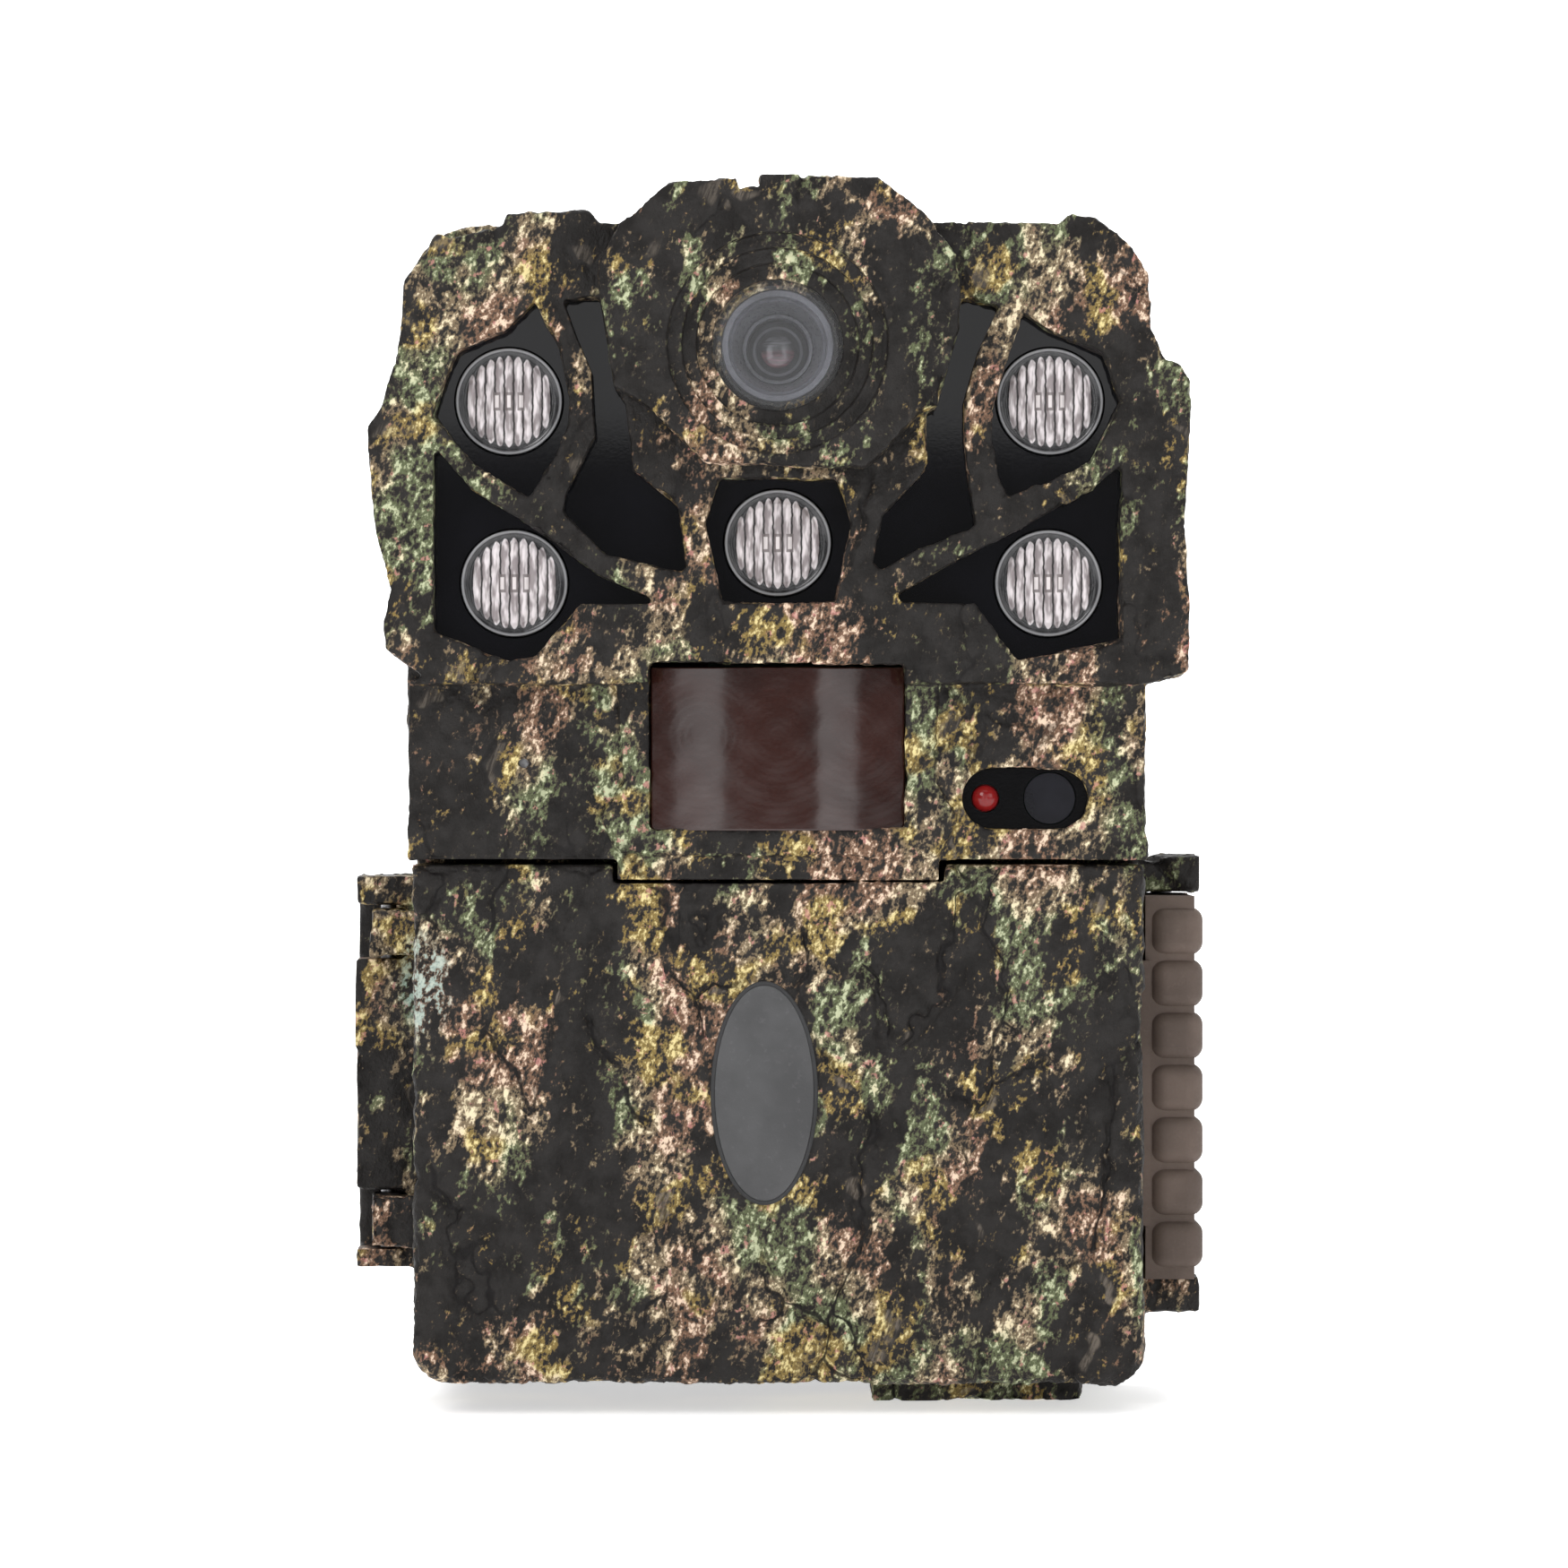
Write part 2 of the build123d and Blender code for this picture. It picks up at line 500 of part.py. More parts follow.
with BuildPart() as board_screws:
    for px, pz in posts:
        rod_y(2.1, (board_y - 1.4, board_y), px, pz)
        rod_y(post_hole_r, (board_y, board_y + 7.0), px, pz)
save(board_screws, "board_screws")

# ================================================================ motion sensor and small sensors
sensor_board_y = y_skin + 8.5
pir_flange = 1.2
with BuildPart() as pir_lens:
    with BuildSketch(Plane.XY.offset(pir_z - pir_h / 2 + 0.1)):
        with BuildLine():
            ThreePointArc((-pir_w / 2 + 0.1, y_front), (0, y_front - pir_bulge), (pir_w / 2 - 0.1, y_front))
            Line((pir_w / 2 - 0.1, y_front), (pir_w / 2 - 0.1, y_skin))
            Line((pir_w / 2 - 0.1, y_skin), (-pir_w / 2 + 0.1, y_skin))
            Line((-pir_w / 2 + 0.1, y_skin), (-pir_w / 2 + 0.1, y_front))
        make_face()
    extrude(amount=pir_h - 0.2)
    block((-pir_w / 2 - 1.4, pir_w / 2 + 1.4), (y_skin, y_skin + pir_flange),
          (pir_z - pir_h / 2 - 0.3, pir_z + pir_h / 2 - 0.5))
    block((-pir_w / 2 + 1.6, pir_w / 2 - 1.6), (y_front + 0.4, y_skin + pir_flange + 1),
          (pir_z - pir_h / 2 + 1.4, pir_z + pir_h / 2 - 1.4), Mode.SUBTRACT)
save(pir_lens, "pir_lens")

with BuildPart() as sensor_board:
    block((-34.0, 35.5), (sensor_board_y, sensor_board_y + board_t), (shell_z0 + 3.2, shell_z0 + 19.5))
    for px, pz in case_screws:
        rod_y(case_boss_r + 0.4, (sensor_board_y - 1, sensor_board_y + board_t + 1), px, pz, Mode.SUBTRACT)
save(sensor_board, "sensor_board")

with BuildPart() as pir_sensor:
    rod_y(4.6, (sensor_board_y - 0.6, sensor_board_y), 0, pir_z)
    rod_y(4.1, (sensor_board_y - 4.2, sensor_board_y - 0.6), 0, pir_z)
save(pir_sensor, "pir_sensor")

bezel_y = (y_front + 1.4, y_skin)
with BuildPart() as eye_bezel:
    with BuildSketch(front(bezel_y[0])):
        with Locations((eye_x, eye_z)):
            SlotOverall(eye_w - 0.1, eye_h - 0.1)
    extrude(amount=-(bezel_y[1] - bezel_y[0]))
    with BuildSketch(front(bezel_y[1])):
        with Locations((eye_x, eye_z)):
            Rectangle(eye_w + 2.0, eye_h + 0.6)
    extrude(amount=-1.2)
    rod_y(1.6, (bezel_y[0] - 1, bezel_y[1] + 2), led_x, eye_z, Mode.SUBTRACT)
    rod_y(2.95, (bezel_y[0] - 1, bezel_y[1] + 2), cell_x, eye_z, Mode.SUBTRACT)
save(eye_bezel, "eye_bezel")

with BuildPart() as status_led:
    rod_y(1.5, (bezel_y[0] + 0.4, bezel_y[1] + 2.0), led_x, eye_z)
    with Locations((led_x, bezel_y[0] + 0.4, eye_z)):
        Sphere(1.5)
    rod_y(1.9, (bezel_y[1] + 2.0, bezel_y[1] + 3.0), led_x, eye_z)
    for side in (-1, 1):
        block((led_x + side * 1.27 - 0.25, led_x + side * 1.27 + 0.25), (bezel_y[1] + 3.0, sensor_board_y),
              (eye_z - 0.25, eye_z + 0.25))
save(status_led, "status_led")

with BuildPart() as light_sensor:
    rod_y(2.85, (bezel_y[0] + 0.3, bezel_y[1] + 0.6), cell_x, eye_z)
    rod_y(2.5, (bezel_y[1] + 0.6, sensor_board_y), cell_x, eye_z)
save(light_sensor, "light_sensor")

with BuildPart() as microphone:
    rod_y(3.0, (y_skin, y_skin + 2.7), mic_x, mic_z)
    block((mic_x - 1.0, mic_x + 1.0), (y_skin + 2.7, sensor_board_y), (mic_z - 0.5, mic_z + 0.5))
save(microphone, "microphone")

# ================================================================ lower door
door_w = body_w - 0.9
door_half = door_w / 2
door_y1 = y_part - part_gap
door_cavity_top = door_z1 - 2 * wall + 0.3
liner_y = (y_front + 8.0, y_front + 9.5)
liner_screws = [(sx * (door_half - 9.0), z) for sx in (-1, 1) for z in (door_z0 + 9.0, door_z1 - 12.0)]
claw_y = (y_part - 5.4, y_part - 3.4)
claw_z = (door_z0 + 17.0, door_z0 + 47.0)
claw_bite = 0.9
notch_h = tab_drop + seam - 0.8
liner_ribs = 5
liner_rib_pitch = 7.0
arm_half = 1.6

with BuildPart() as door_shell:
    block((-door_half, door_half), (y_front, door_y1), (door_z0, door_z1))
    fillet(door_shell.edges().filter_by(Axis.Y).group_by(Axis.Z)[0], radius=4.0)
    fillet(door_shell.faces().sort_by(Axis.Y)[0].edges(), radius=1.4)
    block((-door_half + wall, door_half - wall), (y_skin, door_y1 + 1), (door_z0 + wall, door_cavity_top),
          Mode.SUBTRACT)
    # clearance for the hanging tab, wider to the rear so that the door swings past it
    with BuildSketch(Plane.XY.offset(door_z1 - notch_h)):
        with BuildLine():
            Polyline((-tab_w / 2 - 0.5, y_front - 1), (tab_w / 2 + 0.5, y_front - 1),
                     (tab_w / 2 + 3.6, door_y1 + 1), (-tab_w / 2 - 0.5, door_y1 + 1), close=True)
        make_face()
    extrude(amount=notch_h + 1, mode=Mode.SUBTRACT)
    for px, pz in liner_screws:
        rod_y(2.6, (y_skin - 0.5, liner_y[0]), px, pz)
        rod_y(0.9, (y_skin + 0.8, liner_y[0] + 1), px, pz, Mode.SUBTRACT)
    # catch pocket in the right side
    block((door_half - claw_bite - 0.4, door_half + 1), (claw_y[0] - 0.6, claw_y[1] + 0.4),
          (claw_z[0] - 0.6, claw_z[1] + 0.6), Mode.SUBTRACT)
    # hinge arms and knuckles
    for z0, z1 in knuckle_z:
        low, high = z0 + knuckle_gap, z1 - knuckle_gap
        block((pin_x - arm_half, pin_x + arm_half), (door_y1 - 2.2, pin_y), (low, high))
        block((pin_x - arm_half, -door_half + 1.0), (door_y1 - 3.4, door_y1), (low, high))
        rod_z(knuckle_r, pin_x, pin_y, (low, high))
        rod_z(hinge_pin_r + pin_play, pin_x, pin_y, (low - 1, high + 1), Mode.SUBTRACT)
save(door_shell, "door_shell")

with BuildPart() as hinge_pin:
    rod_z(hinge_pin_r, pin_x, pin_y, wing_z)
save(hinge_pin, "hinge_pin")

with BuildPart() as door_liner:
    block((-door_half + wall + 0.2, door_half - wall - 0.2), liner_y,
          (door_z0 + wall + 0.2, door_cavity_top - 0.2))
    for row in range(liner_ribs):
        rib_z = door_z0 + 15.0 + row * liner_rib_pitch
        block((-door_half + 16.0, door_half - 16.0), (liner_y[1], liner_y[1] + 1.0), (rib_z, rib_z + 1.2))
    for px, pz in liner_screws:
        rod_y(1.1, (liner_y[0] - 1, liner_y[1] + 1), px, pz, Mode.SUBTRACT)
save(door_liner, "door_liner")

with BuildPart() as liner_screw_set:
    for px, pz in liner_screws:
        rod_y(1.9, (liner_y[1], liner_y[1] + 1.2), px, pz)
        rod_y(0.9, (y_skin + 2.0, liner_y[1]), px, pz)
save(liner_screw_set, "liner_screws")

badge_x = -1.5
badge_z = door_z0 + 32.5
with BuildPart() as badge:
    with BuildSketch(front(y_front)):
        with Locations((badge_x, badge_z)):
            Ellipse(badge_w / 2, badge_h / 2)
    extrude(amount=badge_t)
save(badge, "door_badge")

# ================================================================ latch lever
lever_x = (half_w + slip + 0.1, reach - 1.0)
lever_z = (lug_z[0][1] + slip + 0.1, lug_z[1][0] - slip - 0.1)
grip_pitch = (lever_z[1] - lever_z[0] - 2.0) / grip_ribs
grip_h = grip_pitch - 0.5
grip_x = (lever_x[0] + 0.4, reach)
grip_y = (claw_y[0], latch_y - 1.8)
with BuildPart() as latch_lever:
    block(lever_x, (claw_y[0] + grip_rise, latch_y), lever_z)
    rod_z(latch_x - lever_x[0], latch_x, latch_y, lever_z)
    block((door_half - claw_bite, lever_x[0] + 0.5), claw_y, claw_z)
    # soft ribs, each a rounded cushion round the lever's nose and outer side
    for k in range(grip_ribs):
        middle = lever_z[0] + 1.0 + grip_pitch * (k + 0.5)
        with BuildPart(mode=Mode.PRIVATE) as cushion:
            with BuildSketch(Plane.XY.offset(middle - grip_h / 2)):
                with Locations(((grip_x[0] + grip_x[1]) / 2, (grip_y[0] + grip_y[1]) / 2)):
                    RectangleRounded(grip_x[1] - grip_x[0], grip_y[1] - grip_y[0], 2.0)
            extrude(amount=grip_h)
            rims = cushion.faces().filter_by(Axis.Z).edges()
            fillet(rims, radius=1.5)
        add(cushion)
    rod_z(latch_pin_r + pin_play, latch_x, latch_y, (lever_z[0] - 1, lever_z[1] + 1), Mode.SUBTRACT)
save(latch_lever, "latch_lever")

with BuildPart() as latch_pin:
    rod_z(latch_pin_r, latch_x, latch_y, (lug_z[0][0], lug_z[1][1]))
save(latch_pin, "latch_pin")

# ================================================================ control panel behind the door
panel_y = (y_part + 0.4, y_part + 2.4)
panel_z = (door_z0 + wall + 0.2, door_z1 - 2.6)
control_board_y = panel_y[1] + 3.4
lcd_w, lcd_h = 41.0, 31.0
lcd_frame = 2.0
lcd_x, lcd_z = bay_x[1] - slip - lcd_frame - lcd_w / 2, door_z0 + 33.0
pad_x, pad_z = 25.0, door_z0 + 40.0
pad_step = 7.0
cap_r = 2.6
press = 0.5
buttons = {"button_up": (0, 1), "button_down": (0, -1), "button_left": (-1, 0), "button_right": (1, 0),
           "button_enter": (0, 0)}
switch_x, switch_z = 22.0, door_z0 + 13.5
switch_travel = 6.0
switch_knob = 3.0
socket_wall = 0.5
sd_x = bay_x[1] + thin_wall + part_gap + socket_wall + slip + sd_w / 2
sd_z = door_z0 + 25.5
sd_y0 = panel_y[0] - 1.0

with BuildPart() as control_panel:
    block((-inner_w + 0.3, inner_w - 0.3), panel_y, panel_z)
    block((lcd_x - lcd_w / 2, lcd_x + lcd_w / 2), (panel_y[0] - 1, panel_y[1] + 1),
          (lcd_z - lcd_h / 2, lcd_z + lcd_h / 2), Mode.SUBTRACT)
    for dx, dz in buttons.values():
        rod_y(cap_r + 0.15, (panel_y[0] - 1, panel_y[1] + 1), pad_x + dx * pad_step, pad_z + dz * pad_step,
              Mode.SUBTRACT)
    block((switch_x - switch_knob / 2 - slip, switch_x + switch_travel + switch_knob / 2 + slip),
          (panel_y[0] - 1, panel_y[1] + 1),
          (switch_z - switch_knob / 2 - slip, switch_z + switch_knob / 2 + slip), Mode.SUBTRACT)
    block((sd_x - sd_w / 2 - slip, sd_x + sd_w / 2 + slip), (panel_y[0] - 1, panel_y[1] + 1),
          (sd_z - sd_t / 2 - slip, sd_z + sd_t / 2 + slip), Mode.SUBTRACT)
save(control_panel, "control_panel")

with BuildPart() as lcd_cover:
    block((lcd_x - lcd_w / 2, lcd_x + lcd_w / 2), (panel_y[0] + 0.2, panel_y[0] + 1.2),
          (lcd_z - lcd_h / 2, lcd_z + lcd_h / 2))
save(lcd_cover, "display_cover")

with BuildPart() as lcd_module:
    block((lcd_x - lcd_w / 2 - lcd_frame, lcd_x + lcd_w / 2 + lcd_frame), (panel_y[1], control_board_y),
          (lcd_z - lcd_h / 2 - lcd_frame, lcd_z + lcd_h / 2 + lcd_frame))
save(lcd_module, "display_module")

with BuildPart() as control_board:
    block((-inner_w + 2.0, inner_w - 2.0), (control_board_y, control_board_y + board_t),
          (panel_z[0] + 6.5, panel_z[1] - 1.0))
    block((sd_x - sd_w / 2 - slip - socket_wall, sd_x + sd_w / 2 + slip + socket_wall),
          (control_board_y - 1, control_board_y + board_t + 1),
          (sd_z - sd_t / 2 - slip - socket_wall, sd_z + sd_t / 2 + slip + socket_wall), Mode.SUBTRACT)
save(control_board, "control_board")

with BuildPart() as sd_socket:
    block((sd_x - sd_w / 2 - slip - socket_wall, sd_x + sd_w / 2 + slip + socket_wall),
          (panel_y[1], sd_y0 + sd_l + 1.5),
          (sd_z - sd_t / 2 - slip - socket_wall, sd_z + sd_t / 2 + slip + socket_wall))
    block((sd_x - sd_w / 2 - slip, sd_x + sd_w / 2 + slip), (panel_y[1] - 1, sd_y0 + sd_l + slip),
          (sd_z - sd_t / 2 - slip, sd_z + sd_t / 2 + slip), Mode.SUBTRACT)
save(sd_socket, "sd_socket")

with BuildPart() as sd_card:
    with BuildSketch(Plane.XY.offset(sd_z - sd_t / 2)):
        with BuildLine():
            Polyline((sd_x - sd_w / 2, sd_y0), (sd_x + sd_w / 2, sd_y0), (sd_x + sd_w / 2, sd_y0 + sd_l - 3.5),
                     (sd_x + sd_w / 2 - 3.5, sd_y0 + sd_l), (sd_x - sd_w / 2, sd_y0 + sd_l), close=True)
        make_face()
    extrude(amount=sd_t)
save(sd_card, "sd_card")

key_top = control_board_y - 1.6
with BuildPart() as tact_switches:
    for dx, dz in buttons.values():
        px, pz = pad_x + dx * pad_step, pad_z + dz * pad_step
        block((px - 2.6, px + 2.6), (key_top, control_board_y), (pz - 2.6, pz + 2.6))
save(tact_switches, "tact_switches")

for name, (dx, dz) in buttons.items():
    px, pz = pad_x + dx * pad_step, pad_z + dz * pad_step
    with BuildPart() as cap:
        rod_y(cap_r, (panel_y[0] - 1.0, panel_y[1] + 0.1), px, pz)
        rod_y(cap_r + 0.5, (panel_y[1] + 0.1, panel_y[1] + 0.7), px, pz)
        rod_y(1.2, (panel_y[1] + 0.7, key_top - press - 0.1), px, pz)
    save(cap, name)

with BuildPart() as power_switch:
    block((switch_x - switch_knob / 2, switch_x + switch_knob / 2), (panel_y[0] - 1.4, panel_y[1] + slip),
          (switch_z - switch_knob / 2, switch_z + switch_knob / 2))
    block((switch_x - 3.5, switch_x + 3.5), (panel_y[1] + slip, panel_y[1] + slip + 0.8),
          (switch_z - 2.4, switch_z + 2.4))
save(power_switch, "power_switch")

with BuildPart() as switch_body:
    block((switch_x - 4.5, switch_x + switch_travel + 4.5), (panel_y[1] + slip + 1.1, control_board_y),
          (switch_z - 3.0, switch_z + 3.0))
save(switch_body, "power_switch_body")

ribbon_y = board_y + board_t + 1.2
with BuildPart() as ribbon_cable:
    block((-10.0, 10.0), (ribbon_y, ribbon_y + 0.4), (panel_z[1] - 6.0, board_z[0] + 5.0))
    block((-10.0, 10.0), (board_y + board_t, ribbon_y), (board_z[0] + 1.0, board_z[0] + 4.0))
    block((-10.0, 10.0), (control_board_y + board_t, ribbon_y), (panel_z[1] - 5.0, panel_z[1] - 2.0))
save(ribbon_cable, "ribbon_cable")

# ================================================================ battery tray
tab_foot = (tray_x[0] + 1.5, tray_x[0] + 7.5)
cells_x = [sum(tray_x) / 2 + (k - (cell_cols - 1) / 2) * cell_pitch for k in range(cell_cols)]
cells_y = [sum(tray_y) / 2 + (k - (cell_rows - 1) / 2) * cell_pitch for k in range(cell_rows)]
with BuildPart() as battery_tray:
    block(tray_x, tray_y, (door_z0, tray_top))
    block((tray_x[0] + tray_wall, tray_x[1] - tray_wall), (tray_y[0] - 1, tray_y[1] - tray_wall),
          (door_z0 + tray_floor, tray_top - tray_wall), Mode.SUBTRACT)
    # low front lip that keeps the cells in
    block(tray_x, (tray_y[0], tray_y[0] + tray_wall), (door_z0, door_z0 + tray_floor + 14.0))
    # pull tab, which is also the left foot
    block(tab_foot, (tray_y[0] + 17.0, tray_y[0] + 23.0), (0, door_z0 + 0.5))
save(battery_tray, "battery_tray")

with BuildPart() as battery_cells:
    for px in cells_x:
        for py in cells_y:
            rod_z(cell_d / 2, px, py, (cell_z0, cell_z0 + cell_l - 1.2))
            rod_z(2.7, px, py, (cell_z0 + cell_l - 1.2, cell_z0 + cell_l))
save(battery_cells, "battery_cells")

with BuildPart() as battery_contacts:
    for px in cells_x:
        for py in cells_y:
            block((px - 4.5, px + 4.5), (py - 4.5, py + 4.5), (cell_z0 - contact_t, cell_z0))
            block((px - 4.5, px + 4.5), (py - 4.5, py + 4.5), (cell_z0 + cell_l, cell_z0 + cell_l + contact_t))
save(battery_contacts, "battery_contacts")

# ================================================================ power jack and its plug
jack_body = (inner_w - 12.0, inner_w)
jack_bore_r = 2.9
with BuildPart() as dc_jack:
    block(jack_body, (jack_y - 4.5, jack_y + 4.5), (jack_z - 4.5, jack_z + 4.5))
    rod_x(jack_bore_r, (inner_w - 7.0, inner_w + 1), jack_y, jack_z, Mode.SUBTRACT)
save(dc_jack, "dc_jack")

with BuildPart() as jack_plug:
    block((half_w + 0.1, half_w + 1.0), (jack_y - 4.0, jack_y + 4.0), (jack_z - 4.1, jack_z + 4.1))
    rod_x(jack_bore_r - slip, (inner_w - 6.0, half_w + 0.5), jack_y, jack_z)
save(jack_plug, "jack_plug")

# ================================================================ strap bracket
lip_z = bracket_half + bracket_t + lip_h
with BuildPart() as strap_bracket:
    block((-bracket_w / 2, bracket_w / 2), (y_plate, y_plate + bracket_t),
          (bracket_z - bracket_half - bracket_t, bracket_z + bracket_half + bracket_t))
    for side in (-1, 1):
        inner = bracket_z + side * bracket_half
        outer = inner + side * bracket_t
        end = bracket_z + side * lip_z
        block((-bracket_w / 2, bracket_w / 2), (y_back, y_plate), (min(inner, outer), max(inner, outer)))
        block((-bracket_w / 2, bracket_w / 2), (y_back, y_back + bracket_t), (min(outer, end), max(outer, end)))
    for px, pz in bracket_holes:
        rod_y(bracket_screw_r + 0.2, (y_back - 1, y_back + bracket_t + 1), px, pz, Mode.SUBTRACT)
save(strap_bracket, "strap_bracket")

with BuildPart() as bracket_screws:
    for px, pz in bracket_holes:
        rod_y(2.7, (y_back + bracket_t, y_back + bracket_t + 1.6), px, pz)
        rod_y(bracket_screw_r, (y_back - 5.5, y_back + bracket_t), px, pz)
save(bracket_screws, "bracket_screws")
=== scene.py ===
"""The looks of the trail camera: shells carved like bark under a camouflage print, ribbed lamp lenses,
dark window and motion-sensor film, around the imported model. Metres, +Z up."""

import math

import bpy
import numpy as np
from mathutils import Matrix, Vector
from mathutils.bvhtree import BVHTree


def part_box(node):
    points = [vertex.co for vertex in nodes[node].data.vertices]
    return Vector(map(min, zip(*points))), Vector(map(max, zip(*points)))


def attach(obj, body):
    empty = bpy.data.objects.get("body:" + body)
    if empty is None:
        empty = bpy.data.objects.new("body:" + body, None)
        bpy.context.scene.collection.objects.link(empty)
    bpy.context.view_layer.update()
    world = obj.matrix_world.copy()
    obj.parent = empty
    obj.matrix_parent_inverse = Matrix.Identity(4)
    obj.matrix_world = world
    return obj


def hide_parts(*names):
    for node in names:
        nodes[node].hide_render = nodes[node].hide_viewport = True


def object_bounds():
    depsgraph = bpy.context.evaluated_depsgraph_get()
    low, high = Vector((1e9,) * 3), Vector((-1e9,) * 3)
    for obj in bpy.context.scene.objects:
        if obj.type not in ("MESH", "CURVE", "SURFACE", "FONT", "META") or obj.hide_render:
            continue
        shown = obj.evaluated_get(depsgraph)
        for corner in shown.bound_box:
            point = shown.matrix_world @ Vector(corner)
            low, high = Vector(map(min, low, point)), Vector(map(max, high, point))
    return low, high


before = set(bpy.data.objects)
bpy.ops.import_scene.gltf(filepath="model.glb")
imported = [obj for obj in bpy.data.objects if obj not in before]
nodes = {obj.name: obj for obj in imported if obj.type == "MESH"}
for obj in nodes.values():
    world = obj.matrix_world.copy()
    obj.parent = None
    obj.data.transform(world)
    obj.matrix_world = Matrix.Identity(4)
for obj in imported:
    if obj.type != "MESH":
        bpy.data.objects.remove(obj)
cad_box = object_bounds()
MM = 0.001
RIB_PITCH = 1.05     # of the lamp lenses, mm
DIE_PITCH = 1.35     # of the three dies behind each lamp lens, mm
PLATE_W, PLATE_H = 12.0, 27.0     # usual size of a bark plate, mm


# ---------------------------------------------------------------- node helpers
class Graph:
    """Short calls for the nodes that shaders and geometry nodes share."""

    def __init__(self, tree):
        self.tree = tree

    def feed(self, socket, value):
        if isinstance(value, bpy.types.NodeSocket):
            self.tree.links.new(value, socket)
        else:
            socket.default_value = value

    def node(self, kind, **inputs):
        made = self.tree.nodes.new(kind)
        for key, value in inputs.items():
            self.feed(made.inputs[key.replace("_", " ")], value)
        return made

    def vector(self, operation, *values):
        made = self.tree.nodes.new("ShaderNodeVectorMath")
        made.operation = operation
        for socket, value in zip(made.inputs, values):
            self.feed(socket, value)
        return made.outputs[0]

    def length(self, vector):
        made = self.node("ShaderNodeVectorMath")
        made.operation = "LENGTH"
        self.feed(made.inputs[0], vector)
        return made.outputs["Value"]

    def math(self, operation, a, b=0.0):
        made = self.tree.nodes.new("ShaderNodeMath")
        made.operation = operation
        self.feed(made.inputs[0], a)
        self.feed(made.inputs[1], b)
        return made.outputs[0]

    def add(self, *terms):
        total = terms[0]
        for term in terms[1:]:
            total = self.math("ADD", total, term)
        return total

    def times(self, a, b):
        return self.math("MULTIPLY", a, b)

    def noise(self, vector, scale, detail=2.0, rough=0.5, distort=0.0, output=0):
        made = self.node("ShaderNodeTexNoise", Vector=vector, Scale=scale, Detail=detail, Roughness=rough,
                         Distortion=distort)
        return made.outputs[output]

    def voronoi(self, vector, scale, feature="F1", output="Distance"):
        made = self.node("ShaderNodeTexVoronoi", Vector=vector, Scale=scale)
        made.feature = feature
        return made.outputs[output]

    def ramp(self, value, low, high, to_low=0.0, to_high=1.0):
        """value from low..high to to_low..to_high, eased and clamped."""
        made = self.node("ShaderNodeMapRange", Value=value, From_Min=low, From_Max=high, To_Min=to_low,
                         To_Max=to_high)
        made.interpolation_type = "SMOOTHSTEP"
        return made.outputs[0]

    def bark(self, p):
        """Bark at p (mm): distance to the nearest plate border in mm, how far that border is split
        open, a random tone for the plate and lengthwise grain."""
        wander = self.noise(p, 0.075, 3, 0.55, output=1)
        w = self.vector("MULTIPLY_ADD", wander, (13, 13, 16), p)
        q = self.vector("MULTIPLY", w, (1 / PLATE_W, 1 / PLATE_W, 1 / PLATE_H))
        border = self.times(self.voronoi(q, 1.0, "DISTANCE_TO_EDGE"), PLATE_W)
        tone = self.noise(self.voronoi(q, 1.0, "F1", "Color"), 5.0, 0)
        split = self.ramp(self.noise(p, 0.085, 1), 0.47, 0.54)
        grain = self.noise(self.vector("MULTIPLY", w, (1.3, 1.3, 0.22)), 0.55, 3, 0.6)
        return border, split, tone, grain


class Shader(Graph):
    """A material under construction."""

    def __init__(self, name):
        self.material = bpy.data.materials.new(name)
        self.material.use_nodes = True
        super().__init__(self.material.node_tree)
        self.bsdf = self.tree.nodes["Principled BSDF"]

    def point(self):
        """Object coordinates in mm."""
        return self.vector("MULTIPLY", self.node("ShaderNodeTexCoord").outputs["Object"], (1000, 1000, 1000))

    def attribute(self, name):
        made = self.node("ShaderNodeAttribute")
        made.attribute_name = name
        return made.outputs["Fac"]

    def mix(self, factor, a, b):
        made = self.tree.nodes.new("ShaderNodeMix")
        made.data_type = "RGBA"
        self.feed(made.inputs[0], factor)
        self.feed(made.inputs[6], a if isinstance(a, bpy.types.NodeSocket) else (*a, 1))
        self.feed(made.inputs[7], b if isinstance(b, bpy.types.NodeSocket) else (*b, 1))
        return made.outputs[2]

    def bump(self, height, strength, distance):
        made = self.node("ShaderNodeBump", Height=height, Strength=strength, Distance=distance)
        self.feed(self.bsdf.inputs["Normal"], made.outputs[0])

    def set(self, **inputs):
        for key, value in inputs.items():
            if isinstance(value, tuple) and len(value) == 3:
                value = (*value, 1)
            self.feed(self.bsdf.inputs[key.replace("_", " ")], value)


# ---------------------------------------------------------------- materials
def plastic(name, colour, rough=0.5, grain=3.0, wear=0.25, bump=0.25, metal=0.0, lift=1.4, shine=0.4):
    """Moulded or coated material: fine grain, mottled roughness and a slight drift of tone."""
    s = Shader(name)
    p = s.point()
    fine = s.noise(p, grain, 4, 0.6)
    dust = s.ramp(s.noise(p, 1.1, 5, 0.7), 0.56, 0.72)
    tone = s.mix(s.ramp(s.noise(p, 0.12, 3, 0.55), 0.35, 0.65), tuple(c * 0.82 for c in colour),
                 tuple(min(1, c * lift) for c in colour))
    tone = s.mix(s.times(dust, wear), tone, tuple(min(1, c * 1.8 + 0.02) for c in colour))
    s.set(Base_Color=tone, Metallic=metal, Specular_IOR_Level=shine)
    s.set(Roughness=s.ramp(fine, 0.3, 0.7, rough * 0.85, min(1.0, rough * 1.18)))
    s.bump(fine, bump, 0.00012)
    return s.material


